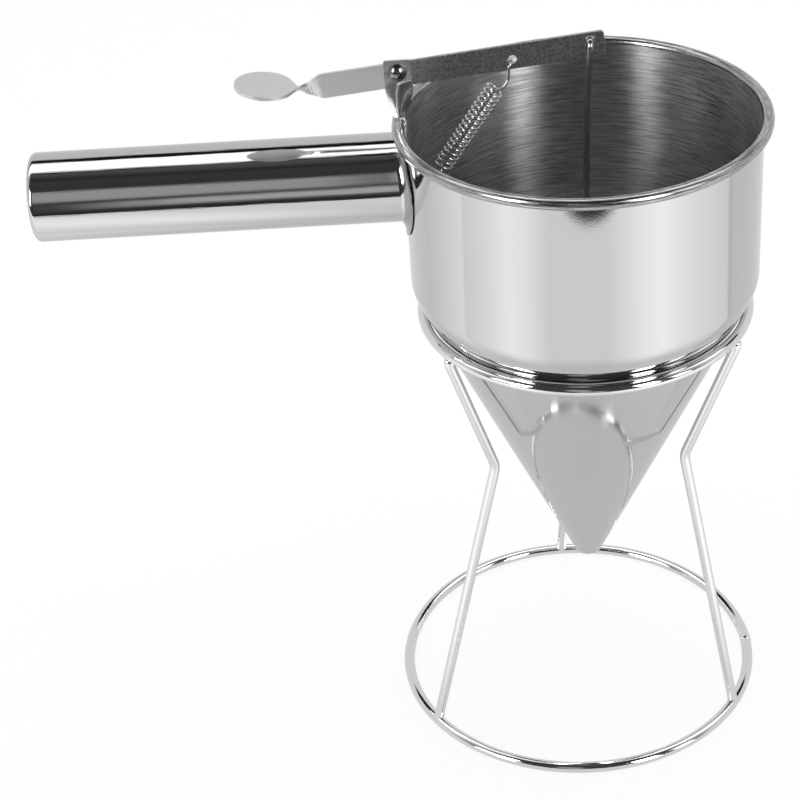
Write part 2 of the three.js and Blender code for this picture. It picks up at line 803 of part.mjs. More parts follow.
// Bent leg from under the top ring in to the knee and out to the base ring
function leg({ angle, topOut, topDrop, kneeDrop, kneeGap }) {
  const ray = new THREE.Vector3(Math.cos(angle * degree), Math.sin(angle * degree), 0);
  const top = ray.clone().multiplyScalar(topRingRadius + topOut).setZ(ringHeight - topDrop);
  const kneeHeight = ringHeight - kneeDrop;
  const knee = ray.clone().multiplyScalar(coneOuterAt(kneeHeight) + kneeGap).setZ(kneeHeight);
  const foot = ray.clone().multiplyScalar(baseRingRadius).setZ(baseWireRadius);
  foot.x -= baseShift;
  const path = bentPath([top, knee, foot], kneeBendRadius, 6);
  const stretch = (from, to, steps) =>
    Array.from({ length: steps }, (_, i) => from.clone().lerp(to, (i / steps) * (i / steps)));
  const near = weldLength + baseWireRadius * 2;
  const topInner = top.clone().lerp(path[1], near / top.distanceTo(path[1]));
  const last = path[path.length - 2];
  const footInner = foot.clone().lerp(last, near / foot.distanceTo(last));
  const dense = [
    ...stretch(top, topInner, 5),
    topInner,
    ...path.slice(1, -1),
    footInner,
    ...stretch(foot, footInner, 5).reverse(),
  ];
  const whole = dense.reduce((sum, point, i) => sum + (i > 0 ? point.distanceTo(dense[i - 1]) : 0), 0);
  const radiusAt = (length) => {
    const fromEnd = Math.min(length, whole - length) - baseWireRadius;
    const share = Math.max(0, 1 - Math.max(fromEnd, 0) / weldLength);
    return legWireRadius + weldSwell * share * share;
  };
  const base = ringTool(baseRingRadius, baseWireRadius, baseWireRadius);
  base.translate(-baseShift, 0, 0);
  return cut(wire(dense, radiusAt, wireSides), ringTool(topRingRadius, ringHeight, topWireRadius), base);
}

// Assembly

function buildHopper() {
  const group = new THREE.Group();
  group.add(piece("hopper_cup", revolved(cupProfile(), roundSteps), mirrorSteel));
  group.add(piece("hopper_cone", revolved(coneProfile(), roundSteps), mirrorSteel));
  return group;
}

function buildHandle() {
  const group = new THREE.Group();
  group.add(piece("handle_collar", collar(), mirrorSteel));
  group.add(piece("handle_tube", revolvedAlongHandle(tubeProfile(), handleSteps), mirrorSteel));
  group.add(piece("handle_end_cap", revolvedAlongHandle(capProfile(), handleSteps), mirrorSteel));
  return group;
}

function buildLever() {
  const group = new THREE.Group();
  const swung = new THREE.Group();
  swung.position.copy(pivot);
  swung.rotation.y = -restAngle * degree;
  swung.add(piece("thumb_lever", lever(), leverSteel));
  group.add(swung);
  group.add(piece("lever_bracket", bracket(), brushedSteel));
  group.add(piece("pivot_rivet", rivet(), brushedSteel));
  group.add(piece("spring_lug", springLug(), brushedSteel));
  return group;
}

function buildSpring() {
  const path = springPath();
  console.log(`return_spring least gap to itself: ${leastGap(path, springWireRadius).toFixed(2)} mm`);
  return piece("return_spring", wire(path, () => springWireRadius, springSides), springSteel);
}

function buildValve() {
  const group = new THREE.Group();
  group.add(piece("valve_rod", wire(rodPath(), () => rodRadius, wireSides), wireSteel));
  group.add(piece("valve_plug", revolved(plugProfile(), smallSteps), brushedSteel));
  return group;
}

function buildStand() {
  const group = new THREE.Group();
  group.add(piece("stand_top_ring", wireRing(topRingRadius, ringHeight, topWireRadius), wireSteel));
  const base = wireRing(baseRingRadius, baseWireRadius, baseWireRadius);
  base.translate(-baseShift, 0, 0);
  group.add(piece("stand_base_ring", base, wireSteel));
  for (const [name, bend] of Object.entries(legs)) {
    group.add(piece(name, leg(bend), wireSteel));
  }
  return group;
}

const dispenser = new THREE.Group();
dispenser.add(buildHopper(), buildHandle(), buildLever(), buildSpring(), buildValve(), buildStand());
dispenser.position.x = -(handleEnd + rimOuterRadius) / 2;

export default dispenser;
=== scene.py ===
"""Studio picture of a batter dispensing funnel that hangs in its wire stand.

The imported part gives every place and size. This script lays finished pieces over it,
gives each one its metal, and sets up the studio and the camera. Lengths are written in
millimetres in the funnel's own frame: the upright axis of the cup is x = y = 0, the
handle points along -X, the floor is z = 0.
"""

import json
import logging
import math
from dataclasses import astuple, dataclass
from enum import Enum
from functools import cache
from typing import Any, Callable, Sequence

import bpy
from mathutils import Matrix, Vector

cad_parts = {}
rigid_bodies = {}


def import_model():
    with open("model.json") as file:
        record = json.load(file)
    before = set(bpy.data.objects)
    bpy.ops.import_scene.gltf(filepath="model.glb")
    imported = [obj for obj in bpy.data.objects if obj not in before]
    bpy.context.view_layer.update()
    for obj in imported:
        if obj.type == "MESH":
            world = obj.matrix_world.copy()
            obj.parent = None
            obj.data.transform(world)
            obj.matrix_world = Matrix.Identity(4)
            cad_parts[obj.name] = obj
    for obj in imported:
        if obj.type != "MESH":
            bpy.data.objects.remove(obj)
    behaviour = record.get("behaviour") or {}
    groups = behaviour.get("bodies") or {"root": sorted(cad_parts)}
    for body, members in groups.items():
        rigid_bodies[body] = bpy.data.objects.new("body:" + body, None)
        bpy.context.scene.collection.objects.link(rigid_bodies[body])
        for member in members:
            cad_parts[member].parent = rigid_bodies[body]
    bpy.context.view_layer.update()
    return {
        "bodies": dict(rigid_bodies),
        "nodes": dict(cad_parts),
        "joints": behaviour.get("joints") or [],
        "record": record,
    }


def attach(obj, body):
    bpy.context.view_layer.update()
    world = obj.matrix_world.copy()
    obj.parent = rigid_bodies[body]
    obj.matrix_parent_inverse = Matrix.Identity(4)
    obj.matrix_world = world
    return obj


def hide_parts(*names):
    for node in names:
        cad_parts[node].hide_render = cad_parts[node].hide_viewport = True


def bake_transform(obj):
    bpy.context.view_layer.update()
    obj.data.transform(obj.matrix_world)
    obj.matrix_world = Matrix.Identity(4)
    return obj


LOG = logging.getLogger("funnel")
MM = 0.001
AXIS_X = 61.35

Point = tuple[float, float]
Spot = tuple[float, float, float]
Piece = bpy.types.Object
Tree = bpy.types.NodeTree
Node = bpy.types.Node
Socket = bpy.types.NodeSocket
Material = bpy.types.Material

WHITE = (1.0, 1.0, 1.0, 1.0)
UP = Vector((0, 0, 1))
FRONT = Vector((0, -1, 0))
# Range in which the noise of the finishing marks moves
MARKS_LOW, MARKS_HIGH = 0.3, 0.7
# How close to the ends of a straight wall its first and last rows lie
CLOSE_ROW = 0.35
# Gaps below which corners are merged: in a copied solid, along a path and at a turned seam
SOLID_GAP, PATH_GAP, SEAM_GAP = MM / 500, MM / 200, MM / 100
# Faces of a copied solid that bend less than this are one flat face
FLAT_DEGREES = 0.5


class Body(Enum):
    """The moving groups of the part."""

    STAND = "stand"
    FUNNEL = "funnel"
    LEVER = "lever"
    VALVE = "valve"


def linear(hex_colour: str) -> tuple[float, float, float, float]:
    """Turn six sRGB hex digits into linear red, green, blue and alpha."""
    channels = [int(hex_colour[i : i + 2], 16) / 255 for i in (0, 2, 4)]
    curve = [c / 12.92 if c <= 0.04045 else ((c + 0.055) / 1.055) ** 2.4 for c in channels]
    return (curve[0], curve[1], curve[2], 1.0)


def place(x: float, y: float, z: float) -> Vector:
    """Return a spot of the funnel's own frame in millimetres as metres in the scene."""
    return Vector(((x + AXIS_X) * MM, y * MM, z * MM))


def set_all(owner: Any, settings: dict[str, Any]) -> None:
    """Give the owner's properties their values."""
    for name, value in settings.items():
        setattr(owner, name, value)


# Node trees


def empty_tree(owner: Material | bpy.types.World) -> Tree:
    """Return the owner's node tree, switched on and emptied."""
    owner.use_nodes = True
    owner.node_tree.nodes.clear()
    return owner.node_tree


def add_node(tree: Tree, kind: str, inputs: dict[Any, Any] | None = None, **settings: Any) -> Node:
    """Add one node with its settings and links.

    Args:
        tree: the node tree that receives the node.
        kind: the node's type name after "ShaderNode".
        inputs: inputs by name or number; a socket is linked and a plain value is set.
        settings: properties of the node.

    Returns:
        The new node.
    """
    node = tree.nodes.new("ShaderNode" + kind)
    set_all(node, settings)
    for key, value in (inputs or {}).items():
        if isinstance(value, Socket):
            tree.links.new(value, node.inputs[key])
        else:
            node.inputs[key].default_value = value
    return node


def soft_step(tree: Tree, value: Socket, low: float, high: float, start: float = 0.0,
              end: float = 1.0) -> Socket:
    """Run smoothly from start to end while value runs from low to high."""
    node = add_node(tree, "MapRange", {0: value, 1: low, 2: high, 3: start, 4: end},
                    interpolation_type="SMOOTHSTEP")
    return node.outputs[0]


def combine(tree: Tree, operation: str, a: Any, b: Any = 0.0) -> Socket:
    """Join two values or sockets by one arithmetic operation and return the result's socket."""
    return add_node(tree, "Math", {0: a, 1: b}, operation=operation).outputs[0]


def mixed(tree: Tree, share: Any, low: Any, high: Any) -> Socket:
    """Return the value low where share is 0 and high where it is 1."""
    return add_node(tree, "Mix", {0: share, 2: low, 3: high}).outputs[0]


def mixed_colour(tree: Tree, share: Any, low: Any, high: Any) -> Socket:
    """Return the colour low where share is 0 and high where it is 1."""
    return add_node(tree, "Mix", {0: share, 6: low, 7: high}, data_type="RGBA").outputs[2]


def mixed_shader(tree: Tree, share: Any, low: Socket, high: Socket) -> Socket:
    """Return the shader low where share is 0 and high where it is 1."""
    return add_node(tree, "MixShader", {0: share, 1: low, 2: high}).outputs[0]


def glowing(tree: Tree, kind: str, strength: Any) -> Socket:
    """Return a white Emission or Background of a strength."""
    return add_node(tree, kind, {"Color": WHITE, "Strength": strength}).outputs[0]


def noise(tree: Tree, vector: Socket, scale: float, detail: float, roughness: float = 0.5) -> Socket:
    """Return the value of a noise."""
    inputs = {"Vector": vector, "Scale": scale, "Detail": detail, "Roughness": roughness}
    return add_node(tree, "TexNoise", inputs).outputs["Fac"]


def object_spot(tree: Tree) -> Socket:
    """Return the shaded spot in the object's own metres."""
    return add_node(tree, "TexCoord").outputs["Object"]


def spot_from_axis(tree: Tree) -> Socket:
    """Return the shaded spot, measured from where the cup's axis meets the floor."""
    inputs = {0: object_spot(tree), 1: (AXIS_X * MM, 0.0, 0.0)}
    return add_node(tree, "VectorMath", inputs, operation="SUBTRACT").outputs[0]


# Finishes


@dataclass(frozen=True)
class Metal:
    """A bare metal surface.

    Attributes:
        name: what the metal is and how it was made.
        tint: sRGB hex of its reflection seen straight on.
        roughness: roughness of the shader.
        wave_mm: distance between slow swells of the sheet.
        wave_depth: strength of those swells.
        grain_mm: spacing of the fine marks left by finishing.
        grain_depth: strength of those marks.
        grain_spread: how much the roughness varies with the marks.
        stretch: how far reflections are drawn out across the brushing, 0 to 1.
    """

    name: str
    tint: str
    roughness: float
    wave_mm: float = 30.0
    wave_depth: float = 0.0
    grain_mm: float = 0.5
    grain_depth: float = 0.0
    grain_spread: float = 0.0
    stretch: float = 0.0

    def marks(self, tree: Tree) -> Socket:
        """Return a value that varies with the finishing marks: here an even fine mottle."""
        return noise(tree, object_spot(tree), 1 / (self.grain_mm * MM), detail=3.0, roughness=0.6)

    def build(self) -> Material:
        """Make the material with the metal's tint, its marks and its swells."""
        material = bpy.data.materials.new(self.name)
        tree = empty_tree(material)
        shader = add_node(tree, "BsdfPrincipled", {
            "Base Color": linear(self.tint), "Metallic": 1.0, "Roughness": self.roughness,
            "Anisotropic": self.stretch})
        marks = self.marks(tree)
        if self.grain_spread:
            low, high = self.roughness - self.grain_spread, self.roughness + self.grain_spread
            rough = add_node(tree, "MapRange", {0: marks, 1: MARKS_LOW, 2: MARKS_HIGH, 3: low, 4: high})
            tree.links.new(rough.outputs[0], shader.inputs["Roughness"])
        swell = noise(tree, object_spot(tree), 1 / (self.wave_mm * MM), detail=1.0)
        waves = add_node(tree, "Bump", {
            "Height": swell, "Strength": self.wave_depth, "Distance": self.wave_mm * MM / 10})
        fine = add_node(tree, "Bump", {
            "Height": marks, "Strength": self.grain_depth, "Distance": self.grain_mm * MM / 2,
            "Normal": waves.outputs["Normal"]})
        tree.links.new(fine.outputs["Normal"], shader.inputs["Normal"])
        self.colour(tree, shader, marks)
        add_node(tree, "OutputMaterial", {"Surface": shader.outputs[0]})
        return material

    def colour(self, tree: Tree, shader: Node, marks: Socket) -> None:
        """Leave the tint even; finishes with uneven colour override this."""


@dataclass(frozen=True)
class RoundBrushed(Metal):
    """Sheet that was brushed while it turned about the cup's axis. Its lines run round it, lean
    a little, and break off a few times per radian."""

    darkest: float = 0.4
    breaks: float = 4.5
    lean_mm: float = 1.2

    def colour(self, tree: Tree, shader: Node, marks: Socket) -> None:
        """Draw reflections out up and down the wall, and shade the lines a little."""
        upright = add_node(tree, "CombineXYZ", {2: 1.0}).outputs[0]
        tree.links.new(upright, shader.inputs["Tangent"])
        tint = linear(self.tint)
        dark = (*(channel * self.darkest for channel in tint[:3]), 1.0)
        lines = mixed_colour(tree, soft_step(tree, marks, MARKS_LOW, MARKS_HIGH), dark, tint)
        tree.links.new(lines, shader.inputs["Base Color"])

    def marks(self, tree: Tree) -> Socket:
        """Return fine lines that run round the upright axis, in short lengths."""
        x, y, z = add_node(tree, "SeparateXYZ", {0: spot_from_axis(tree)}).outputs
        turn = combine(tree, "ARCTAN2", y, x)
        height = combine(tree, "ADD", z, combine(tree, "MULTIPLY", turn, self.lean_mm * MM))
        line = add_node(tree, "CombineXYZ", {
            0: combine(tree, "MULTIPLY", turn, self.breaks),
            1: combine(tree, "MULTIPLY", height, 1 / (self.grain_mm * MM))})
        return noise(tree, line.outputs[0], 1.0, detail=4.0, roughness=0.75)


@dataclass(frozen=True)
class RolledStrip(Metal):
    """Strip with a cloudy, pitted mill skin, which handling has made even at its pad end. Past that end its
    tint is also darkened all over, as painted shade for the cup's dark inside that this part mirrors.
    """

    dark: str = "8C8C8D"
    even_until: float = -66.0
    clouds_and_shade_from: float = -54.0
    least_painted_shade: float = 0.45
    even_factor: float = 1.1

    def colour(self, tree: Tree, shader: Node, marks: Socket) -> None:
        """Cloud the strip between its tint and a darker one, but only past the even end; there the darker
        one never falls below a share, which is painted shade.
        """
        along = add_node(tree, "SeparateXYZ", {0: object_spot(tree)}).outputs["X"]
        raw = soft_step(tree, along, (self.even_until + AXIS_X) * MM, (self.clouds_and_shade_from + AXIS_X) * MM)
        # Past the even end the darker tint never falls below its least share: painted shade, with the real
        # cloud marks laid over it
        depth = soft_step(tree, marks, MARKS_LOW, MARKS_HIGH, 1.0, self.least_painted_shade)
        clouds_and_shade = combine(tree, "MULTIPLY", raw, depth)
        tint = mixed_colour(tree, clouds_and_shade, linear(self.tint), linear(self.dark))
        tree.links.new(tint, shader.inputs["Base Color"])
        rough = mixed(tree, raw, self.roughness * self.even_factor, self.roughness)
        tree.links.new(rough, shader.inputs["Roughness"])


@dataclass(frozen=True)
class ScuffedSheet(Metal):
    """Polished sheet with one dull patch, where a mark was ground out by hand."""

    patch: Spot = (-3.0, -49.0, 147.6)
    patch_core: float = 9.0
    patch_edge: float = 21.0
    patch_roughness: float = 0.17

    def colour(self, tree: Tree, shader: Node, marks: Socket) -> None:
        """Dull the patch, unevenly, and leave the rest as it is."""
        inputs = {0: object_spot(tree), 1: tuple(place(*self.patch))}
        away = add_node(tree, "VectorMath", inputs, operation="DISTANCE").outputs["Value"]
        dull = soft_step(tree, away, self.patch_core * MM, self.patch_edge * MM, 1.0, 0.0)
        ground = combine(tree, "MULTIPLY", marks, self.patch_roughness)
        tree.links.new(mixed(tree, dull, self.roughness, ground), shader.inputs["Roughness"])


@dataclass(frozen=True)
class DrawnTube(Metal):
    """Tube that was polished along its length, which leaves faint lines along it."""

    line_mm: float = 30.0

    def marks(self, tree: Tree) -> Socket:
        """Return faint lines that run along the tube."""
        across = 1 / (self.grain_mm * MM)
        inputs = {0: object_spot(tree), 1: (1 / (self.line_mm * MM), across, across)}
        drawn = add_node(tree, "VectorMath", inputs, operation="MULTIPLY").outputs[0]
        return noise(tree, drawn, 1.0, detail=3.0, roughness=0.6)


# Polished stainless sheet: buffed to a mirror, with the slow swells of thin spun metal
POLISHED_SHEET = Metal("polished stainless sheet", "CFCECD", 0.035, wave_mm=26.0, wave_depth=0.02,
                       grain_mm=0.6, grain_depth=0.01, grain_spread=0.012)
# Cone: the same polish, with the patch that was ground dull
SCUFFED_SHEET = ScuffedSheet("polished sheet with a ground patch", "CFCECD", 0.035, wave_mm=26.0,
                             wave_depth=0.02, grain_mm=0.6, grain_depth=0.01)
# Handle: the same polish, but drawn lengthwise, so that its reflections have soft edges
POLISHED_TUBE = DrawnTube("lengthwise polished tube", "CFCECD", 0.07, wave_mm=26.0, wave_depth=0.02,
                          grain_mm=0.7, grain_depth=0.05, grain_spread=0.03)
# Flare of the collar: left satin, with a darker tint that is painted shade
COLLAR_SHEET = Metal("spun satin collar", "A3A19F", 0.18, wave_mm=12.0, wave_depth=0.05,
                     grain_mm=0.4, grain_depth=0.03, grain_spread=0.05)
# Inside of the cup: satin lines left by a belt while the cup turned, which draw every
# reflection out up and down the wall
BRUSHED_SHEET = RoundBrushed("round-brushed stainless sheet", "D0D0D0", 0.36, wave_mm=40.0,
                             wave_depth=0.03, grain_mm=0.8, grain_depth=0.16, grain_spread=0.08,
                             stretch=0.95)
# Drawn stainless wire, electropolished after welding: bright, with hard highlights
BRIGHT_WIRE = Metal("bright drawn stainless wire", "EAEAEB", 0.07, wave_mm=8.0, wave_depth=0.03,
                    grain_mm=0.4, grain_depth=0.02, grain_spread=0.03)
# Spring wire: harder and a little greyer than the stand's
SPRING_WIRE = Metal("bright spring steel wire", "C4C4C5", 0.12, wave_mm=6.0,
                    grain_mm=0.3, grain_depth=0.05, grain_spread=0.04)
# Lever: mill finish strip, matt and cloudy, with fine pits, and painted shade where it reaches over the cup
MILL_STRIP = RolledStrip("mill finish stainless strip", "E4E3E2", 0.34, wave_mm=14.0, wave_depth=0.02,
                         grain_mm=0.8, grain_depth=0.03)
# Bracket, lug and plug: tumbled after they were stamped or turned, and half bright
TUMBLED_SHEET = Metal("tumbled stainless stamping", "EDECEB", 0.22, wave_mm=5.0, wave_depth=0.14,
                      grain_mm=0.4, grain_depth=0.015, grain_spread=0.03)
# Rivet: the same steel, its tint darkened as a painted reflection of the dark room that its head mirrors
RIVET_STEEL = Metal("burnished rivet steel", "8A8A8A", 0.16, wave_mm=3.0, wave_depth=0.05,
                    grain_mm=0.4, grain_depth=0.06, grain_spread=0.04)
# Valve rod: drawn wire, not polished, with a darker tint that is a painted reflection of the cup's dark
# inside
ROD_WIRE = Metal("drawn stainless rod", "A2A2A3", 0.12, wave_mm=9.0, wave_depth=0.05,
                 grain_mm=0.5, grain_depth=0.05, grain_spread=0.05)
# Rim: rolled over a former, which leaves a duller skin with drawn lines
RIM_SHEET = RoundBrushed("rolled satin rim", "C9C9C9", 0.2, wave_mm=12.0, wave_depth=0.06,
                         grain_mm=0.35, grain_depth=0.08, grain_spread=0.08)


@cache
def material_of(metal: Metal) -> Material:
    """Return the material of a metal, made on its first use."""
    return metal.build()


# Modelling


def nothing_selected() -> None:
    """Leave edit mode and deselect every object."""
    if bpy.context.object and bpy.context.object.mode != "OBJECT":
        bpy.ops.object.mode_set(mode="OBJECT")
    bpy.ops.object.select_all(action="DESELECT")


def make_active(piece: Piece) -> None:
    """Select one object alone and make it the active one."""
    nothing_selected()
    piece.select_set(True)
    bpy.context.view_layer.objects.active = piece


def added(name: str, operator: Callable[..., Any], **settings: Any) -> Piece:
    """Add one object by its operator, and return it under its name."""
    nothing_selected()
    operator(**settings)
    bpy.context.object.name = name
    return bpy.context.object


def at_origin(piece: Piece) -> None:
    """Move the object's place, turn and size into its mesh."""
    make_active(piece)
    bpy.ops.object.transform_apply(location=True, rotation=True, scale=True)


def modify(piece: Piece, name: str, kind: str, **settings: Any) -> None:
    """Change the piece's mesh by one modifier."""
    set_all(piece.modifiers.new(name, kind), settings)
    make_active(piece)
    bpy.ops.object.modifier_apply(modifier=name)


def smooth(piece: Piece, degrees: float = 32.0) -> None:
    """Shade the piece smooth, but keep its edges that are sharper than the angle."""
    make_active(piece)
    bpy.ops.object.shade_smooth_by_angle(angle=math.radians(degrees))


def enter_edit(piece: Piece) -> None:
    """Enter edit mode on one object alone."""
    make_active(piece)
    bpy.ops.object.mode_set(mode="EDIT")


def merge_all(gap: float) -> None:
    """Select the whole mesh in edit mode, and merge what lies closer than a gap in metres."""
    bpy.ops.mesh.select_all(action="SELECT")
    bpy.ops.mesh.remove_doubles(threshold=gap)


def close_up(gap: float) -> None:
    """Merge the mesh by a gap, turn its faces outwards and leave edit mode."""
    merge_all(gap)
    bpy.ops.mesh.normals_make_consistent(inside=False)
    bpy.ops.object.mode_set(mode="OBJECT")


def break_edges(piece: Piece, width_mm: float, segments: int, degrees: float) -> None:
    """Round the edges that are sharper than an angle to a width."""
    modify(piece, "broken edges", "BEVEL", width=width_mm * MM, segments=segments,
           limit_method="ANGLE", angle_limit=math.radians(degrees))


def shares(count: int) -> list[float]:
    """Return the shares of that many equal steps, from 0 up to the last one before 1."""
    return [i / count for i in range(count)]


def arc(centre: Point, radius: float, start: float, end: float, steps: int) -> list[Point]:
    """Return the points of an arc from one angle in degrees to another, both included."""
    turns = [math.radians(start + (end - start) * i / steps) for i in range(steps + 1)]
    return [(centre[0] + radius * math.cos(t), centre[1] + radius * math.sin(t)) for t in turns]


def held(start: Point, end: Point, rows: int = 1) -> list[Point]:
    """Return the points of a straight wall in equal rows, with two more close to its ends, which
    keep its shading straight."""
    near = CLOSE_ROW / math.dist(start, end)
    places = [0.0, *(near + (1 - 2 * near) * i / rows for i in range(rows + 1)), 1.0]
    return [(start[0] + (end[0] - start[0]) * p, start[1] + (end[1] - start[1]) * p) for p in places]


def turned(name: str, outline: Sequence[Point], closed: bool, steps: int,
           spot: Callable[[float, float], Vector]) -> Piece:
    """Turn an outline into a round solid with the spin tool.

    Args:
        name: name of the piece.
        outline: pairs of distance from the axis and place along it, in millimetres.
        closed: whether the outline closes on itself away from the axis.
        steps: number of steps round.
        spot: gives the place in the scene of one such pair.

    Returns:
        The turned piece, smooth and facing outwards.
    """
    corners = [spot(r, h) for r, h in outline]
    piece = added(name, bpy.ops.mesh.primitive_plane_add, size=MM, location=corners[0])
    bpy.ops.object.mode_set(mode="EDIT")
    bpy.ops.mesh.merge(type="CENTER")
    for before, after in zip(corners, [*corners[1:], *corners[: int(closed)]]):
        bpy.ops.mesh.extrude_vertices_move(TRANSFORM_OT_translate={"value": tuple(after - before)})
    merge_all(PATH_GAP)
    centre = spot(0.0, 0.0)
    axis = (spot(0.0, 1.0) - centre).normalized()
    bpy.ops.mesh.spin(steps=steps, angle=2 * math.pi, center=centre, axis=axis)
    close_up(SEAM_GAP)
    at_origin(piece)
    smooth(piece)
    return piece


def laid_grid(name: str, columns: int, rows: int, spot: Callable[[int, int], Vector]) -> Piece:
    """Lay a grid of so many columns and rows of faces, each corner where spot puts it."""
    piece = added(name, bpy.ops.mesh.primitive_grid_add, x_subdivisions=columns, y_subdivisions=rows, size=1)
    at_origin(piece)
    for vertex in piece.data.vertices:
        vertex.co = spot(round((vertex.co.x + 0.5) * columns), round((vertex.co.y + 0.5) * rows))
    return piece


def bent(corners: Sequence[Vector], radius: float, steps: int) -> list[Vector]:
    """Round every inner corner of a path to one bend radius.

    Args:
        corners: the corners of the path, in millimetres.
        radius: bend radius of the wire's middle line.
        steps: number of steps in each bend.

    Returns:
        The path with its bends.
    """
    path = [corners[0]]
    for before, corner, after in zip(corners, corners[1:], corners[2:]):
        back = (before - corner).normalized()
        ahead = (after - corner).normalized()
        half = back.angle(ahead) / 2
        middle = corner + (back + ahead).normalized() * radius / math.sin(half)
        start = corner + back * radius / math.tan(half)
        end = corner + ahead * radius / math.tan(half)
        chords = [start.lerp(end, i / steps) - middle for i in range(steps + 1)]
        path += [middle + chord.normalized() * radius for chord in chords]
    path.append(corners[-1])
    return path


def wire(name: str, path: Sequence[Vector], radii: Sequence[float], sides: int) -> Piece:
    """Run round wire along a path and make it a mesh.

    Args:
        name: name of the piece.
        path: the wire's middle line, in millimetres of the funnel's frame.
        radii: the wire's radius at each point of the path, in millimetres.
        sides: number of sides of its section, an even one.

    Returns:
        The wire as a closed mesh.
    """
    piece = added(name, bpy.ops.curve.primitive_nurbs_path_add, location=(0, 0, 0))
    curve = piece.data
    curve.splines.clear()
    spline = curve.splines.new("POLY")
    spline.points.add(len(path) - 1)
    for point, spot, radius in zip(spline.points, path, radii):
        point.co = (*place(*spot), 1.0)
        point.radius = radius
    curve.dimensions = "3D"
    curve.twist_mode = "MINIMUM"
    curve.bevel_depth = MM
    curve.bevel_resolution = sides // 2 - 2
    curve.use_fill_caps = True
    make_active(piece)
    bpy.ops.object.convert(target="MESH")
    piece = bpy.context.object
    enter_edit(piece)
    close_up(PATH_GAP)
    smooth(piece, degrees=50.0)
    return piece


def dressed_copy(frame: dict[str, Any], node: str, name: str, edge_mm: float, degrees: float) -> Piece:
    """Copy a solid of the part, merge its faces and break its edges.

    Args:
        node: the solid's name.
        name: name of the new piece.
        edge_mm: width of the broken edges.
        degrees: edges sharper than this are broken.

    Returns:
        The new piece, smooth between its edges.
    """
    nothing_selected()
    piece = frame["nodes"][node].copy()
    piece.data = piece.data.copy()
    piece.name = name
    piece.parent = None
    piece.matrix_world = Matrix.Identity(4)
    bpy.context.collection.objects.link(piece)
    enter_edit(piece)
    merge_all(SOLID_GAP)
    bpy.ops.mesh.dissolve_limited(angle_limit=math.radians(FLAT_DEGREES))
    bpy.ops.object.mode_set(mode="OBJECT")
    break_edges(piece, edge_mm, segments=2, degrees=degrees)
    smooth(piece, degrees)
    modify(piece, "flat faces stay flat", "WEIGHTED_NORMAL", weight=100, keep_sharp=True)
    return piece


def coat(piece: Piece, *metals: Metal) -> None:
    """Give the piece its metals, with the first one on every face."""
    piece.data.materials.clear()
    for metal in metals:
        piece.data.materials.append(material_of(metal))


def dress(piece: Piece, body: Body, slot: str, node: str, *metals: Metal) -> None:
    """Give a piece its metals and its body, and hide the solid that it stands for.

    Args:
        piece: the finished piece.
        body: the body that it rides on.
        slot: the record's material slot; not used.
        node: the solid that it stands for.
        metals: its metals, or none if it has been given them.
    """
    if metals:
        coat(piece, *metals)
    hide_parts(node)
    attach(piece, body.value)
    LOG.info("%s: %d faces on %s", piece.name, len(piece.data.polygons), body.value)


# Sub-assemblies


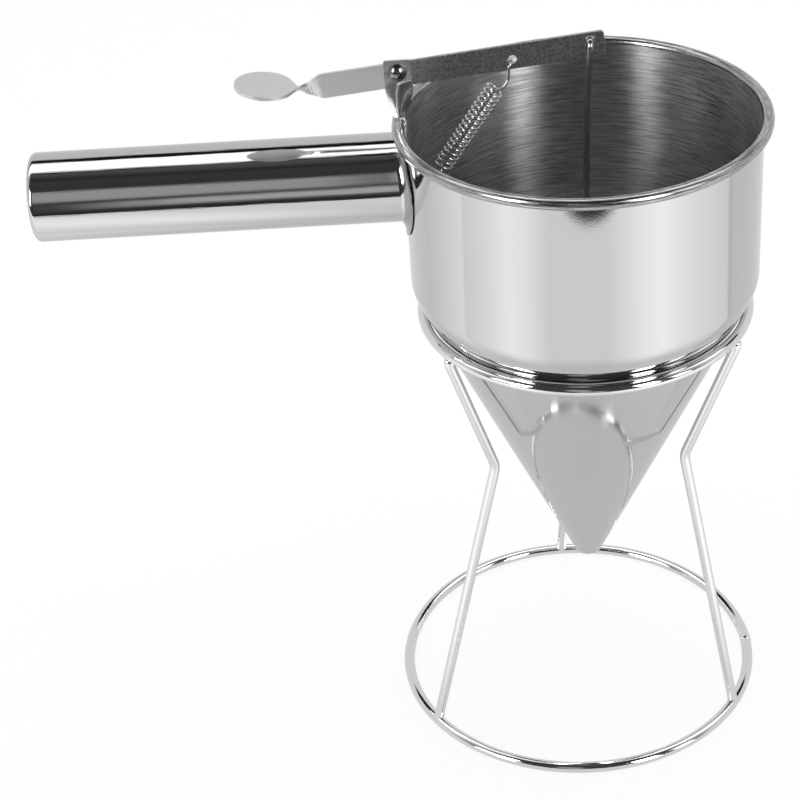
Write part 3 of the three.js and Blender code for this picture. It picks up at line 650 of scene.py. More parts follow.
@dataclass
class Hopper:
    """Cup with its rolled rim and shoulder, and the cone welded under it."""

    steps_round: int = 192
    inside_steps: int = 10
    outside_steps: int = 14
    curl_steps: int = 28
    curl_back_steps: int = 22
    wall_rows: int = 4
    cone_rows: int = 6
    tip_steps: int = 6
    cup_radius: float = 60.2
    rim_top: float = 234.5
    sheet: float = 0.8
    curl: float = 2.0
    curl_mouth: float = 0.5
    satin_depth: float = 4.4
    shoulder_height: float = 173.5
    shoulder_bend: float = 12.0
    cone_slope: float = 0.46103
    cone_tip: float = 52.9
    tip_radius: float = 4.6
    tip_edge: float = 0.5
    seam_height: float = 167.5

    def cone_outer(self, z: float) -> float:
        """Return the cone's outer radius at a height."""
        return self.tip_radius + (z - self.cone_tip) * self.cone_slope

    def cone_inner(self, z: float) -> float:
        """Return the cone's inner radius at a height."""
        return self.cone_outer(z) - self.sheet / math.cos(math.atan(self.cone_slope))

    def cup_outline(self) -> list[Point]:
        """Return the cup's sheet section: up the inside, round the open curl, down the outside."""
        seam = self.seam_height
        turn = math.degrees(math.atan(self.cone_slope))
        inner = self.cup_radius - self.sheet
        bend = (self.cup_radius - self.shoulder_bend,
                self.shoulder_height + self.shoulder_bend * math.tan(math.radians(turn / 2)))
        roll = (inner + self.curl, self.rim_top - self.curl)
        mouth = -math.degrees(math.acos((self.cup_radius + self.curl_mouth - roll[0]) / self.curl))
        inside = arc(bend, self.shoulder_bend - self.sheet, -turn, 0, self.inside_steps)
        curl = arc(roll, self.curl, 180, mouth, self.curl_steps)
        back = arc(roll, self.curl - self.sheet, mouth, 180, self.curl_back_steps)
        outside = arc(bend, self.shoulder_bend, 0, -turn, self.outside_steps)
        return [*held((self.cone_inner(seam), seam), inside[0])[:-1],
                *inside[:-1], *held(inside[-1], curl[0], self.wall_rows), *curl[1:],
                *back[:-1], *held(back[-1], outside[0], self.wall_rows), *outside[1:-1],
                *held(outside[-1], (self.cone_outer(seam), seam))]

    def cone_outline(self) -> list[Point]:
        """Return the cone's sheet section with its rounded lower edge."""
        low, seam = self.cone_tip + self.tip_edge, self.seam_height
        turn = math.degrees(math.atan(self.cone_slope))
        edge = (self.cone_outer(low) - self.tip_edge, low)
        lip = arc(edge, self.tip_edge, -turn, -90, self.tip_steps)
        mouth = (self.cone_inner(self.cone_tip), self.cone_tip)
        return [*held((self.cone_outer(seam), seam), lip[0], self.cone_rows), *lip[1:],
                *held(mouth, (self.cone_inner(seam), seam), self.cone_rows)]

    def choose_metals(self, piece: Piece) -> None:
        """Give the second metal to the faces inside the cup and the third to the rim's curl."""
        for face in piece.data.polygons:
            middle = face.center - place(0, 0, 0)
            inwards = face.normal.x * middle.x + face.normal.y * middle.y < 0
            below_curl = face.center.z < (self.rim_top - self.curl) * MM
            within = math.hypot(middle.x, middle.y) < (self.cup_radius - self.sheet / 2) * MM
            inside = within and below_curl
            on_rim = face.center.z > (self.rim_top - self.satin_depth) * MM and not inside
            face.material_index = 1 if inwards and inside else 2 if on_rim else 0

    def build(self) -> None:
        """Model the cup and the cone."""
        for node, outline, outer in (("hopper_cup", self.cup_outline(), POLISHED_SHEET),
                                     ("hopper_cone", self.cone_outline(), SCUFFED_SHEET)):
            piece = turned(node + "_sheet", outline, True, self.steps_round, lambda r, h: place(r, 0, h))
            coat(piece, outer, BRUSHED_SHEET, RIM_SHEET)
            self.choose_metals(piece)
            dress(piece, Body.FUNNEL, "mirror_steel", node)


@dataclass
class Handle:
    """Round tube with its end cap, and the flared collar on the cup's wall."""

    steps_round: int = 128
    cap_steps: int = 12
    radius: float = 15.2
    wall: float = 0.8
    end_x: float = -186.1
    start_x: float = -65.6
    height: float = 214.2
    cap_depth: float = 2.2
    cap_edge: float = 1.9
    collar_radius: float = 18.3
    collar_sag: float = 1.9
    flare_length: float = 3.2
    flare_start: float = 0.35
    flare_tilt: float = 1.4
    flare_rows: int = 20
    edge_sheet: float = 0.25
    edge_inset: float = 1.0
    headroom: float = 16.0
    wall_radius: float = 60.5

    def spot(self, r: float, along: float) -> Vector:
        """Return the place of a pair of distance from the handle's axis and place along it."""
        return place(along, 0, self.height + r)

    def tube_outline(self) -> list[Point]:
        """Return the section of the tube's wall."""
        inner = self.radius - self.wall
        tube_end = self.end_x + self.cap_depth
        return [(inner, tube_end), (self.radius, tube_end), (self.radius, self.start_x),
                (inner, self.start_x)]

    def cap_outline(self) -> list[Point]:
        """Return the section of the cap, from its middle over the round edge to the tube."""
        tube_end = self.end_x + self.cap_depth
        edge = (self.radius - self.cap_edge, self.end_x + self.cap_edge)
        return [(0.0, self.end_x), *arc(edge, self.cap_edge, -90, 0, self.cap_steps),
                (self.radius, tube_end), (0.0, tube_end)]

    def edge_radius(self, turn: float) -> float:
        """Return the collar's edge radius; it hangs lower than it rises, and is cut off by the rim."""
        rise = math.sin(turn)
        free = self.collar_radius - self.collar_sag * rise
        return self.headroom / rise if rise * free > self.headroom else free

    def wall_x(self, across: float) -> float:
        """Return where the cup's wall lies at a given distance beside the handle's axis."""
        return -math.sqrt(self.wall_radius**2 - across**2)

    def skin(self, row: int, turn: float) -> Vector:
        """Return a place on the collar's skin.

        Args:
            row: -1 at the tube's end, 0 where the trumpet starts, flare_rows at its edge, and
                two more for the edge's thickness and its underside.
            turn: angle about the handle's axis, 0 to the rear.

        Returns:
            The place in the scene.
        """
        side, rise = math.cos(turn), math.sin(turn)
        if row < 0:
            return place(self.start_x, self.radius * side, self.height + self.radius * rise)
        bend = min(row / self.flare_rows, 1.0) * math.pi / 2
        edge = self.edge_radius(turn) - (self.edge_inset if row > self.flare_rows + 1 else 0.0)
        lift = self.edge_sheet if row <= self.flare_rows else 0.0
        radius = self.radius + (edge - self.radius) * (1 - math.cos(bend))
        start = self.wall_x(self.radius * side) - self.flare_length - self.flare_tilt * rise
        along = start + (self.wall_x(radius * side) - lift - start) * math.sin(bend)
        return place(along, radius * side, self.height + radius * rise)

    def collar(self) -> Piece:
        """Model the flared collar: a grid rolled round the tube and bent into the trumpet."""
        turn = 2 * math.pi / self.steps_round
        piece = laid_grid("handle_collar_flared", self.flare_rows + 3, self.steps_round,
                          lambda column, row: self.skin(column - 1, row * turn))
        enter_edit(piece)
        close_up(PATH_GAP)
        smooth(piece, degrees=40.0)
        # The flare gets the collar sheet, whose darker tint is painted shade
        coat(piece, POLISHED_TUBE, COLLAR_SHEET)
        for face in piece.data.polygons:
            middle = face.center - self.spot(0, 0)
            flared = math.hypot(middle.y, middle.z) > (self.radius + self.flare_start) * MM
            face.material_index = int(flared)
        return piece

    def build(self) -> None:
        """Model the tube, the cap and the collar."""
        for name, node, outline, closed in (
                ("handle_tube_polished", "handle_tube", self.tube_outline(), True),
                ("handle_cap_rounded", "handle_end_cap", self.cap_outline(), False)):
            piece = turned(name, outline, closed, self.steps_round, self.spot)
            dress(piece, Body.FUNNEL, "mirror_steel", node, POLISHED_TUBE)
        dress(self.collar(), Body.FUNNEL, "mirror_steel", "handle_collar")


@dataclass(frozen=True)
class LegBend:
    """How one leg was bent and welded: its angle about the axis, how far its top stands out from
    the top ring's wire and drops below it, and the radius and height of its knee."""

    angle: float
    top_out: float
    top_drop: float
    knee_radius: float
    knee_height: float


LEG_BENDS = {
    "rear_leg": LegBend(91.5, 1.3, 1.8, 40.2, 107.8),
    "front_left_leg": LegBend(212.9, 1.2, 2.2, 40.6, 108.1),
    "front_right_leg": LegBend(328.8, 0.9, 2.2, 38.9, 107.3),
}


@dataclass
class Stand:
    """Two rings of wire and three bent legs."""

    ring_height: float = 160.9
    top_radius: float = 56.8138
    top_wire: float = 1.9
    top_joint: float = 150.0
    base_radius: float = 65.85
    base_wire: float = 2.0
    base_joint: float = 0.4
    base_shift: float = 4.9
    ring_steps: int = 252
    ring_sides: int = 18
    joint_gap: float = 0.12
    joint_step: float = 0.18
    joint_fade: float = 12.0
    joint_edge: Point = (0.9, 0.985)
    leg_wire: float = 1.8
    leg_sides: int = 16
    knee_bend: float = 9.0
    knee_steps: int = 16
    entry_depth: float = 0.3
    entry_steps: int = 10
    upper_steps: int = 24
    lower_steps: int = 32
    tip_area: float = 0.25
    weld_start: float = 0.8
    weld_length: float = 2.4
    weld_swell: float = 0.15
    weld_reach: float = 3.0

    def ring(self, name: str, radius: float, wire_radius: float, middle: Spot, joint: float) -> Piece:
        """Model a ring of wire whose two ends meet, a little out of line, in a butt weld.

        Args:
            name: name of the piece.
            radius: radius of the ring's middle line.
            wire_radius: radius of its wire.
            middle: centre of the ring.
            joint: angle of the joint, in degrees.

        Returns:
            The ring.
        """
        gap = math.degrees(self.joint_gap / radius)
        first, last = 2 * gap, 360 - 3 * gap
        plain = [first + (last - first) * i / self.ring_steps for i in range(self.ring_steps + 1)]
        path = []
        for turn in (0.0, gap / 2, *plain, 360 - gap * 1.5, 360 - gap):
            angle = math.radians(joint + turn)
            aside = self.joint_step * max(0.0, 1 - turn / self.joint_fade)
            ray = Vector((math.cos(angle), math.sin(angle), 0))
            path.append(Vector(middle) + ray * (radius + aside) + UP * aside)
        sizes = (*self.joint_edge, *[1.0] * len(plain), *reversed(self.joint_edge))
        return wire(name, path, [wire_radius * size for size in sizes], self.ring_sides)

    def leg(self, name: str, bend: LegBend) -> Piece:
        """Model one leg from the top ring over the knee to the base ring.

        Both ends run into the wire of the ring that they are welded to.
        """
        ray = Vector((math.cos(math.radians(bend.angle)), math.sin(math.radians(bend.angle)), 0))
        top = ray * (self.top_radius + bend.top_out) + UP * (self.ring_height - bend.top_drop)
        knee = ray * bend.knee_radius + UP * bend.knee_height
        foot = ray * self.base_radius + UP * self.base_wire - Vector((self.base_shift, 0, 0))
        rough = bent([top, knee, foot], self.knee_bend, self.knee_steps)
        inside = (ray * self.top_radius + UP * self.ring_height).lerp(top, self.entry_depth)
        below = top + (rough[1] - top).normalized() * self.weld_reach
        entry = [inside.lerp(top, t).lerp(top.lerp(below, t), t) for t in shares(self.entry_steps)]
        upper = [below.lerp(rough[1], t**2) for t in shares(self.upper_steps)]
        lower = [foot.lerp(rough[-2], t**2) for t in shares(self.lower_steps)]
        path = [*entry, *upper, *rough[1:-1], *reversed(lower)]
        radii = [self.welded(min((p - inside).length, (p - foot).length)) for p in path]
        return wire(name, path, radii, self.leg_sides)

    def welded(self, from_end: float) -> float:
        """Return the leg's radius at a distance from its end: a melted tip, the small collar of
        the weld, then the plain wire."""
        tip = math.sqrt(min(1.0, self.tip_area + (1 - self.tip_area) * from_end / self.weld_start))
        off = (from_end - self.weld_start - self.weld_length / 3) / (self.weld_length / 2)
        return self.leg_wire * tip + self.weld_swell * math.exp(-off * off)

    def build(self) -> None:
        """Model both rings and the three legs."""
        pieces = {
            "stand_top_ring": self.ring("stand_top_ring_wire", self.top_radius, self.top_wire,
                                        (0, 0, self.ring_height), self.top_joint),
            "stand_base_ring": self.ring("stand_base_ring_wire", self.base_radius, self.base_wire,
                                         (-self.base_shift, 0, self.base_wire), self.base_joint),
            **{node: self.leg(node + "_wire", bend) for node, bend in LEG_BENDS.items()}}
        for node, piece in pieces.items():
            dress(piece, Body.STAND, "bright_wire", node, BRIGHT_WIRE)


@dataclass(frozen=True)
class Level:
    """One level of the bracket's sheet.

    Attributes:
        drop: share of the height from the ear's top to the wall tab's top.
        left: place of the left edge, as a share of the ear's width.
        fold: place of the fold.
        right: place of the right edge.
        ahead: how far the fold stands forward, as a share of the tongue's width.
        behind: how far the right edge is folded back.
    """

    drop: float
    left: float
    fold: float
    right: float
    ahead: float
    behind: float


BRACKET_LEVELS = (
    Level(0.0, 0.07, 0.5, 0.93, 0.0, 0.0),
    Level(0.012, 0.02, 0.5, 0.98, 0.0, 0.0),
    Level(0.03, 0.0, 0.5, 1.0, 0.0, 0.0),
    Level(0.30, 0.0, 0.60, 1.0, 0.0, 0.0),
    Level(0.345, 0.0, 0.60, 1.0, 0.01, 0.03),
    Level(0.375, 0.0, 0.57, 1.0, 0.02, 0.22),
    Level(0.41, 0.0, 0.51, 0.995, 0.04, 0.42),
    Level(0.46, 0.01, 0.46, 0.99, 0.07, 0.56),
    Level(0.52, 0.03, 0.43, 0.98, 0.11, 0.66),
    Level(0.60, 0.07, 0.42, 0.94, 0.16, 0.75),
    Level(0.68, 0.12, 0.43, 0.87, 0.19, 0.80),
    Level(0.76, 0.18, 0.44, 0.79, 0.20, 0.85),
    Level(0.86, 0.29, 0.47, 0.70, 0.20, 0.88),
)


def flowing(stops: Sequence[Sequence[float]], at: float) -> list[float]:
    """Run smoothly through rows of values.

    Args:
        stops: the rows; the first value of each is its place.
        at: the place that is asked for.

    Returns:
        The values at that place, without the place itself.
    """
    i = max(k for k in range(len(stops) - 1) if k == 0 or stops[k][0] <= at)
    a, b = stops[i], stops[i + 1]
    before, after = stops[max(i - 1, 0)], stops[min(i + 2, len(stops) - 1)]
    span = b[0] - a[0]
    t = min(1.0, (at - a[0]) / span)
    values = []
    for k in range(1, len(a)):
        leave = (b[k] - before[k]) / (b[0] - before[0]) * span
        reach = (after[k] - a[k]) / (after[0] - a[0]) * span
        values.append((2 * t**3 - 3 * t**2 + 1) * a[k] + (t**3 - 2 * t**2 + t) * leave
                      + (3 * t**2 - 2 * t**3) * b[k] + (t**3 - t**2) * reach)
    return values


@dataclass
class LeverGroup:
    """Thumb lever on its bracket, with rivet, spring and lug."""

    frame: dict[str, Any]
    pivot_x: float = -60.2
    pivot_z: float = 253.2
    rest_angle: float = 6.0
    ear_left: float = 4.4
    ear_width: float = 9.2
    ear_rise: float = 4.3
    ear_inner: float = 0.9
    ear_rows: int = 64
    sheet: float = 1.0
    flat_steps: int = 4
    fold_steps: int = 12
    back_steps: int = 6
    tongue_width: float = 4.6
    tongue_rows: int = 12
    tab_radius: float = 58.65
    tab_top: float = 234.8
    tab_bottom: float = 224.5
    tab_rows: int = 8
    rivet_steps: int = 48
    dome_steps: int = 12
    edge_steps: int = 4
    tail_steps: int = 8
    head_radius: float = 3.0
    head_height: float = 1.65
    head_edge: float = 0.15
    shank: float = 1.5
    tail_radius: float = 2.5
    tail_height: float = 1.0
    spring_wire: float = 0.45
    spring_mean: float = 2.95
    spring_turns: float = 17.5
    spring_coil: float = 33.5
    steps_per_turn: int = 20
    hook_radius: float = 2.0
    hook_start: float = 110.0
    hook_end: float = -90.0
    hook_steps: int = 16
    lead_steps: int = 14
    coil_aside: float = 1.0
    lead_bow: float = 1.8
    eye: Spot = (-54.5, 0.0, 208.5)
    eye_slack: float = 0.35
    hole_reach: float = 37.8
    hole_drop: float = 2.3
    hole_slack: float = 0.45

    def sheet_line(self, level: Sequence[float]) -> list[Point]:
        """Return the middle line of the bracket's sheet at one level.

        Args:
            level: left, fold, right, ahead and behind, as in Level.

        Returns:
            Pairs of x and y from the left edge over the rounded fold to the right edge.
        """
        left, fold, right, ahead, behind = level
        start_x = self.pivot_x - self.ear_left
        flat = -(self.ear_inner + self.sheet / 2)
        edge = Vector((start_x + self.ear_width * left, flat))
        ridge = Vector((start_x + self.ear_width * fold, flat - self.tongue_width * ahead))
        back = Vector((start_x + self.ear_width * right, flat + self.tongue_width * behind))
        near, far = edge.lerp(ridge, 1 / 2), ridge.lerp(back, 1 / 3)
        line = [edge.lerp(near, t) for t in shares(self.flat_steps)]
        line += [near.lerp(ridge, t).lerp(ridge.lerp(far, t), t) for t in shares(self.fold_steps)]
        line += [far.lerp(back, t) for t in (*shares(self.back_steps), 1.0)]
        return [tuple(point) for point in line]

    def tab_line(self, count: int) -> list[Point]:
        """Return the middle line of the tab on the inside of the cup's wall."""
        half = self.tongue_width / 2 / self.tab_radius
        turns = [half - 2 * half * i / (count - 1) for i in range(count)]
        return [(-self.tab_radius * math.cos(t), -self.tab_radius * math.sin(t)) for t in turns]

    def bracket_rows(self) -> list[tuple[list[Point], float]]:
        """Return the lines of the bracket's sheet with their heights: ear, tongue, then tab."""
        stops = [astuple(level) for level in BRACKET_LEVELS]
        top = self.pivot_z + self.ear_rise
        last = stops[-1][0]
        rows: list[tuple[list[Point], float]] = []
        for drop in (last * i / self.ear_rows for i in range(self.ear_rows + 1)):
            rows.append((self.sheet_line(flowing(stops, drop)), top - (top - self.tab_top) * drop))
        end, end_z = rows[-1]
        tab = self.tab_line(len(end))
        for share in (*shares(self.tongue_rows)[1:], 1.0):
            ease = share * share * (3 - 2 * share)
            line = [(a[0] + (b[0] - a[0]) * ease, a[1] + (b[1] - a[1]) * ease) for a, b in zip(end, tab)]
            rows.append((line, end_z + (self.tab_top - end_z) * share))
        for i in range(1, self.tab_rows + 1):
            rows.append((tab, self.tab_top + (self.tab_bottom - self.tab_top) * i / self.tab_rows))
        return rows

    def bracket(self) -> Piece:
        """Model the bracket: a grid bent over the rows of its sheet, then given its thickness."""
        rows = self.bracket_rows()

        def spot(column: int, row: int) -> Vector:
            """Return the place of one corner of the grid, whose last row is the sheet's top."""
            line, height = rows[-1 - row]
            return place(*line[column], height)

        piece = laid_grid("lever_bracket_stamping", len(rows[0][0]) - 1, len(rows) - 1, spot)
        modify(piece, "sheet", "SOLIDIFY", thickness=self.sheet * MM, offset=0.0, use_even_offset=True)
        break_edges(piece, width_mm=0.22, segments=3, degrees=50.0)
        smooth(piece, degrees=50.0)
        return piece

    def rivet(self) -> Piece:
        """Turn the rivet: domed head in front, shank, and the rounded tail behind."""
        outer = self.ear_inner + self.sheet
        dome = (self.head_radius**2 + self.head_height**2) / (2 * self.head_height)
        spread = math.degrees(math.acos(self.head_radius / dome))
        rim = (self.head_radius - self.head_edge, -outer - self.head_edge)
        tail = (self.tail_radius - self.tail_height / 2, self.ear_inner + self.tail_height / 2)
        middle = (0.0, -outer - self.head_height + dome)
        outline = [*arc(middle, dome, -90, -spread, self.dome_steps),
                   *arc(rim, self.head_edge, -20, 90, self.edge_steps), (self.shank, -outer),
                   (self.shank, self.ear_inner),
                   *arc(tail, self.tail_height / 2, -90, 90, self.tail_steps),
                   (0.0, self.ear_inner + self.tail_height)]
        return turned("pivot_rivet_dome", outline, False, self.rivet_steps,
                      lambda r, along: place(self.pivot_x + r, along, self.pivot_z))

    def lever_spot(self, along: float, across: float) -> Vector:
        """Return a place that is given along the lever and across it."""
        turn = math.radians(self.rest_angle)
        return Vector((self.pivot_x + along * math.cos(turn) - across * math.sin(turn), 0,
                       self.pivot_z + along * math.sin(turn) + across * math.cos(turn)))

    def hook(self, eye: Vector, inward: Vector, side: Vector, lead: float, meet: float) -> list[Vector]:
        """Return the path of one end of the spring: through its eye and up to the coil.

        Args:
            eye: centre of the eye.
            inward: the way to the coil.
            side: the way to which the lead is bowed.
            lead: length from the eye to the coil.
            meet: how far in front the wire meets the coil.

        Returns:
            The points from the open end to the coil.
        """
        bend = self.hook_radius
        centre = eye + inward * bend
        path = []
        for i in range(self.hook_steps + 1):
            turn = math.radians(self.hook_start + (self.hook_end - self.hook_start) * i / self.hook_steps)
            path.append(centre - inward * bend * math.cos(turn) - FRONT * bend * math.sin(turn))
        for share in shares(self.lead_steps)[1:]:
            aside = self.coil_aside * share + self.lead_bow * math.sin(share * math.pi)
            path.append(eye + inward * (bend + (lead - bend) * share) + side * aside
                        + FRONT * (bend + (meet - bend) * share))
        return path

    def spring(self) -> None:
        """Wind the spring, all one wire, between the lug and the lever."""
        eye = Vector(self.eye)
        hole = self.lever_spot(self.hole_reach, -self.hole_drop)
        axis = (hole - eye).normalized()
        low, high = eye + axis * self.eye_slack, hole - axis * self.hole_slack
        lead = ((high - low).length - self.spring_coil) / 2
        side = axis.cross(FRONT)
        steps = round(self.spring_turns * self.steps_per_turn)
        path = self.hook(low, axis, side, lead, -self.spring_mean)
        for i in range(steps + 1):
            turn = math.radians(180 + i / self.steps_per_turn * 360)
            path.append(low + axis * (lead + self.spring_coil * i / steps)
                        + FRONT * self.spring_mean * math.cos(turn)
                        + side * (self.coil_aside + self.spring_mean * math.sin(turn)))
        path += reversed(self.hook(high, -axis, side, lead, self.spring_mean))
        piece = wire("return_spring_wire", path, [self.spring_wire] * len(path), 10)
        coat(piece, SPRING_WIRE)
        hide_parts("return_spring")
        tuple(place(*low))
        tuple(place(*high))
        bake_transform(piece)
        LOG.info("%s: %d faces between funnel and lever", piece.name, len(piece.data.polygons))

    def build(self) -> None:
        """Model the lever, the bracket and what hangs on them."""
        lever = dressed_copy(self.frame, "thumb_lever", "thumb_lever_strip", edge_mm=0.12, degrees=35.0)
        dress(lever, Body.LEVER, "raw_steel", "thumb_lever", MILL_STRIP)
        dress(self.bracket(), Body.FUNNEL, "satin_steel", "lever_bracket", TUMBLED_SHEET)
        dress(self.rivet(), Body.FUNNEL, "satin_steel", "pivot_rivet", RIVET_STEEL)
        lug = dressed_copy(self.frame, "spring_lug", "spring_lug_stamping", edge_mm=0.1, degrees=35.0)
        dress(lug, Body.FUNNEL, "satin_steel", "spring_lug", TUMBLED_SHEET)
        self.spring()


@dataclass
class Valve:
    """Rod that hangs from the lever, and the plug at its lower end."""

    frame: dict[str, Any]
    rod: float = 1.15
    sawn_end: float = 0.92
    hole_x: float = 3.1
    hole_z: float = 260.05
    hook_half: float = 2.05
    tail: float = 4.2
    bow_x: float = 1.6
    bow_drop: float = 24.0
    guide_z: float = 114.9
    foot_z: float = 55.8
    hook_steps: int = 14
    sweep: float = 45.0
    sweep_steps: int = 12

    def rod_wire(self) -> Piece:
        """Bend the rod: open hook through the lever, slight bow, straight run to the plug."""
        rear = Vector((self.hole_x, self.hook_half, self.hole_z))
        front = Vector((self.hole_x, -self.hook_half, self.hole_z))
        bow = Vector((self.bow_x, -self.hook_half, self.hole_z - self.bow_drop))
        hook = bent([rear - UP * self.tail, rear, front, bow], self.hook_half, self.hook_steps)
        shaft = bent([front, bow, UP * self.guide_z, UP * self.foot_z], self.sweep, self.sweep_steps)
        path = [*hook[:-1], *shaft[1:]]
        return wire("valve_rod_wire", path, [self.sawn_end, *[self.rod] * (len(path) - 1)], 16)

    def build(self) -> None:
        """Model the rod and the plug."""
        dress(self.rod_wire(), Body.VALVE, "bright_wire", "valve_rod", ROD_WIRE)
        plug = dressed_copy(self.frame, "valve_plug", "valve_plug_turned", edge_mm=0.1, degrees=30.0)
        dress(plug, Body.VALVE, "satin_steel", "valve_plug", TUMBLED_SHEET)


# Studio


# Elevation in degrees and brightness of what stands in front, behind the camera: below the
# table's edge a dark gap, above it the dark room and its ceiling
FRONT_BANDS = ((-90, 0.03), (-18, 0.03), (-14, 0.06), (-9, 0.05), (5, 0.05), (9, 0.08), (14, 0.05),
               (41, 0.045), (60, 0.055), (68, 0.03), (76, 0.08), (90, 0.14))
# The same behind the object: the light wall
REAR_BANDS = ((-90, 0.80), (-12, 0.76), (0, 0.74), (50, 0.72), (70, 0.5), (90, 0.14))
# Light on the table by the direction in degrees from the camera's side over +X: bright below
# the two softboxes, with the edge of a darker sheet at the far left and the far right
TABLE_LIGHT = ((-180, 0.84), (-117, 0.77), (-83, 1.07), (-81.5, 0.93), (-64, 1.08), (-50, 1.27),
               (-39, 1.19), (-25, 0.94), (9, 0.94), (31, 1.24), (43, 1.35), (63, 1.13), (94, 0.92),
               (96, 0.66), (100, 0.76), (126, 0.76), (180, 0.84))


def between(tree: Tree, value: Socket, low: float, high: float, edge: float) -> Socket:
    """Return 1 between low and high, with soft ends as wide as edge."""
    start = soft_step(tree, value, low - edge / 2, low + edge / 2)
    end = soft_step(tree, value, high - edge / 2, high + edge / 2, 1.0, 0.0)
    return combine(tree, "MULTIPLY", start, end)


@dataclass(frozen=True)
class Field:
    """A lit or dark field that polished metal mirrors: its sides, its height, how soft its
    edges are to the sides and in height, and its brightness."""

    left: float
    right: float
    low: float
    high: float
    side_edge: float
    rise_edge: float
    level: float

    def over(self, tree: Tree, view: Socket, aside: Socket, rise: Socket) -> Socket:
        """Lay the field over the brightness of a view."""
        share = combine(tree, "MULTIPLY", between(tree, aside, self.left, self.right, self.side_edge),
                        between(tree, rise, self.low, self.high, self.rise_edge))
        return mixed(tree, share, view, self.level)


# Fields in degrees beside the camera's direction and above the horizon
ROOM_FIELDS = (
    # Dim window a little left of the camera, and the streak of a lamp low below it
    Field(-16.0, -2.0, 12.0, 37.0, 5.0, 9.0, 0.42),
    Field(-9.0, 8.0, -10.0, 4.5, 5.0, 9.0, 0.52),
    # Upright softboxes to the left and the right, each with a weaker one beyond it
    Field(-66.0, -54.0, 2.0, 34.0, 2.5, 3.0, 2.2),
    Field(-52.5, -41.5, 2.0, 34.0, 2.5, 3.0, 15.0),
    Field(29.5, 42.5, 2.0, 34.0, 2.5, 3.0, 14.0),
    Field(54.0, 66.0, 2.0, 34.0, 2.5, 3.0, 2.4),
)
# Overhead softbox after its dark frame, both given per unit of height: aside, then to the rear
OVERHEAD_FIELDS = (
    Field(-1.5, 1.5, -0.06, 1.0, 0.05, 0.05, 0.01),
    Field(-1.3, 1.3, 0.03, 0.6, 0.05, 0.05, 1.7),
)


def bands(tree: Tree, angle: Socket, stops: Sequence[Point], top: float = 1.0) -> Socket:
    """Return a brightness that follows an angle through a list of stops.

    Args:
        tree: the node tree.
        angle: the angle in degrees.
        stops: pairs of angle and brightness, from an angle to its opposite.
        top: greatest brightness that the ramp has to hold.

    Returns:
        The socket with the brightness.
    """
    reach = stops[-1][0]
    share = add_node(tree, "MapRange", {0: angle, 1: -reach, 2: reach}).outputs[0]
    node = add_node(tree, "ValToRGB", {0: share})
    ramp = node.color_ramp
    ramp.elements[0].position = 0.0
    ramp.elements[1].position = 1.0
    for degrees, _ in stops[1:-1]:
        ramp.elements.new((degrees + reach) / (2 * reach))
    for element, (_, level) in zip(ramp.elements, stops):
        element.color = (level / top, level / top, level / top, 1.0)
    return combine(tree, "MULTIPLY", node.outputs[0], top)


def in_degrees(tree: Tree, operation: str, a: Socket, b: Any = 0.0) -> Socket:
    """Return an angle in degrees by an operation that gives radians."""
    return combine(tree, "MULTIPLY", combine(tree, operation, a, b), 180 / math.pi)


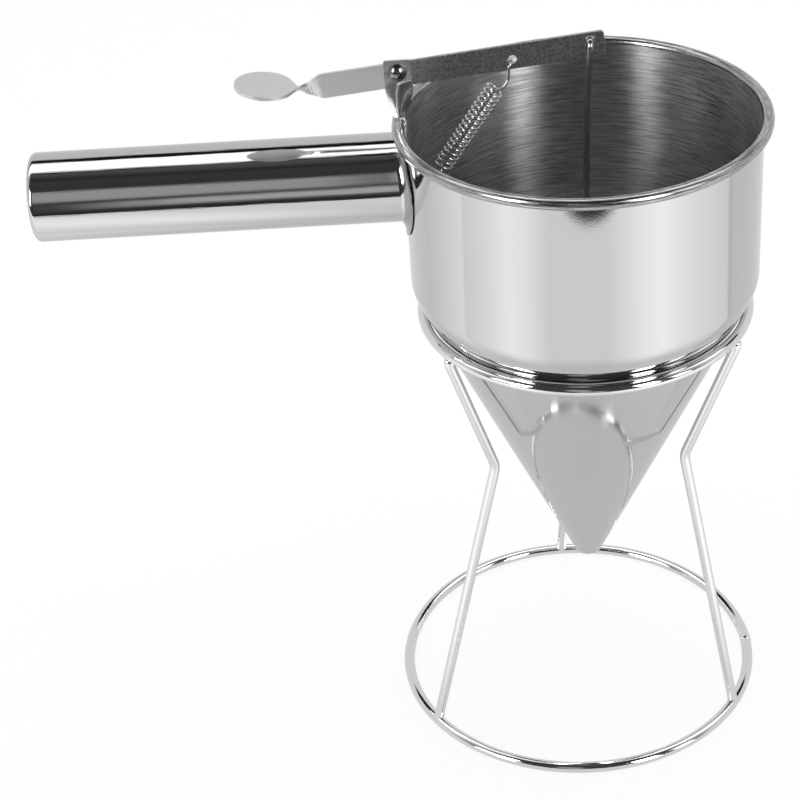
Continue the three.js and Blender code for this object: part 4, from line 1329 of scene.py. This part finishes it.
@dataclass
class Studio:
    """Pale floor, soft lamp and the surroundings that polished metal mirrors."""

    floor_size: float = 6.0
    floor_tint: str = "F7F7F7"
    floor_white: float = 0.86
    table_edge: float = -473.0
    table_blur: float = 8.0
    table_top: float = 1.5
    tip_light: float = 0.94
    tip_reach: Point = (50.0, 190.0)
    shade: float = 0.76
    shade_reach: Point = (40.0, 280.0)
    front_reach: Point = (58.0, 92.0)
    lowest: float = 0.02
    soft_light: float = 0.75
    lamp_spot: Spot = (0.0, 200.0, 1400.0)
    lamp_aim: Spot = (0.0, 0.0, 150.0)
    lamp_size: float = 1200.0
    lamp_power: float = 9.0

    def build_floor(self) -> None:
        """Lay the pale floor under the stand."""
        floor = added("floor", bpy.ops.mesh.primitive_plane_add, size=self.floor_size, location=(0, 0, 0))
        # Pale paper: nearly white to the camera, and a lit table with a front edge to metal
        material = bpy.data.materials.new("pale paper floor")
        tree = empty_tree(material)
        path = add_node(tree, "LightPath").outputs
        paper = add_node(tree, "BsdfDiffuse", {"Color": linear(self.floor_tint)}).outputs[0]
        share = combine(tree, "MULTIPLY", path["Is Camera Ray"], self.floor_white)
        seen = mixed_shader(tree, share, paper, glowing(tree, "Emission", 1.0))
        mix = mixed_shader(tree, path["Is Glossy Ray"], seen, self.mirrored_table(tree))
        add_node(tree, "OutputMaterial", {"Surface": mix})
        material.cycles.emission_sampling = "NONE"
        floor.data.materials.append(material)

    def mirrored_table(self, tree: Tree) -> Socket:
        """Return what polished metal sees of the table: painted light below the softboxes, painted shade
        round the stand, and nothing past its front edge.
        """
        centred = spot_from_axis(tree)
        x, y, _ = add_node(tree, "SeparateXYZ", {0: centred}).outputs
        south = combine(tree, "MULTIPLY", y, -1.0)
        side = in_degrees(tree, "ARCTAN2", x, south)
        away = add_node(tree, "VectorMath", {0: centred}, operation="LENGTH").outputs["Value"]
        spread = soft_step(tree, away, self.tip_reach[0] * MM, self.tip_reach[1] * MM)
        light = mixed(tree, spread, self.tip_light, bands(tree, side, TABLE_LIGHT, self.table_top))
        shade = soft_step(tree, away, self.shade_reach[0] * MM, self.shade_reach[1] * MM, self.shade, 1.0)
        table = glowing(tree, "Emission", combine(tree, "MULTIPLY", light, shade))
        clear = add_node(tree, "BsdfTransparent").outputs[0]
        past = soft_step(tree, south, -(self.table_edge + self.table_blur) * MM,
                         -(self.table_edge - self.table_blur) * MM)
        return mixed_shader(tree, past, table, clear)

    def mirrored_room(self, tree: Tree) -> Socket:
        """Return the brightness that polished metal sees in each direction.

        In front, behind the camera, the room is dark but for a dim window and a lamp's streak.
        To both sides of the camera stand tall softboxes, whose light also lies on the table.
        Behind the object a light wall rises, and a white softbox hangs overhead.
        """
        way = add_node(tree, "TexCoord").outputs["Generated"]
        east, north, up = add_node(tree, "SeparateXYZ", {0: way}).outputs
        rise = in_degrees(tree, "ARCSINE", up)
        side = in_degrees(tree, "ARCTAN2", east, combine(tree, "MULTIPLY", north, -1.0))
        rear = soft_step(tree, combine(tree, "ABSOLUTE", side), *self.front_reach)
        view = mixed(tree, rear, bands(tree, rise, FRONT_BANDS), bands(tree, rise, REAR_BANDS))
        for field in ROOM_FIELDS:
            view = field.over(tree, view, side, rise)
        height = combine(tree, "MAXIMUM", up, self.lowest)
        over = combine(tree, "DIVIDE", north, height)
        beside = combine(tree, "DIVIDE", combine(tree, "ABSOLUTE", east), height)
        for field in OVERHEAD_FIELDS:
            view = field.over(tree, view, beside, over)
        return view

    def build_world(self) -> None:
        """Light the studio: white for the camera, the mirrored room for metal, soft white else."""
        world = bpy.data.worlds.new("studio")
        bpy.context.scene.world = world
        tree = empty_tree(world)
        world.cycles.sampling_method = "NONE"
        path = add_node(tree, "LightPath").outputs
        metal = mixed_shader(tree, path["Is Glossy Ray"], glowing(tree, "Background", self.soft_light),
                             glowing(tree, "Background", self.mirrored_room(tree)))
        clear = combine(tree, "MAXIMUM", path["Is Camera Ray"], path["Is Transmission Ray"])
        mix = mixed_shader(tree, clear, metal, glowing(tree, "Background", 1.0))
        add_node(tree, "OutputWorld", {"Surface": mix})

    def build_lamp(self) -> None:
        """Hang the overhead softbox's lamp, which points at the middle of the object."""
        lamp = added("overhead softbox", bpy.ops.object.light_add, type="AREA",
                     location=place(*self.lamp_spot))
        set_all(lamp.data, {"size": self.lamp_size * MM, "energy": self.lamp_power})
        aim = place(*self.lamp_aim) - lamp.location
        lamp.rotation_euler = aim.to_track_quat("-Z", "Y").to_euler()
        lamp.visible_glossy = False

    def build(self) -> None:
        """Set up floor, world and lamp."""
        self.build_floor()
        self.build_world()
        self.build_lamp()


@dataclass
class PhotoCamera:
    """Camera at the photograph's place, direction and lens."""

    spot: Spot = (-44.99, -639.35, 543.25)
    heading: float = 1.9865
    pitch: float = 33.243
    roll: float = -4.179
    lens: float = 95.149
    sensor: float = 36.0
    nearest: float = 10.0

    def build(self) -> None:
        """Create the camera and make it the scene's own."""
        camera = added("camera", bpy.ops.object.camera_add, location=place(*self.spot))
        heading, pitch, roll = (math.radians(v) for v in (self.heading, self.pitch, self.roll))
        turn = Matrix.Rotation(heading, 3, "Z") @ Matrix.Rotation(math.pi / 2 - pitch, 3, "X")
        camera.rotation_euler = (turn @ Matrix.Rotation(roll, 3, "Z")).to_euler()
        set_all(camera.data, {"sensor_width": self.sensor, "sensor_fit": "HORIZONTAL", "lens": self.lens,
                              "clip_start": self.nearest * MM})
        bpy.context.scene.camera = camera


def main() -> None:
    """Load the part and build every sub-assembly in order."""
    logging.basicConfig(level=logging.INFO, format="%(name)s: %(message)s")
    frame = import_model()
    bpy.context.scene.view_settings.view_transform = "Standard"
    for assembly in (PhotoCamera(), Studio(), Hopper(), Handle(), Stand(), LeverGroup(frame), Valve(frame)):
        assembly.build()
    nothing_selected()


if __name__ == "__main__":
    main()
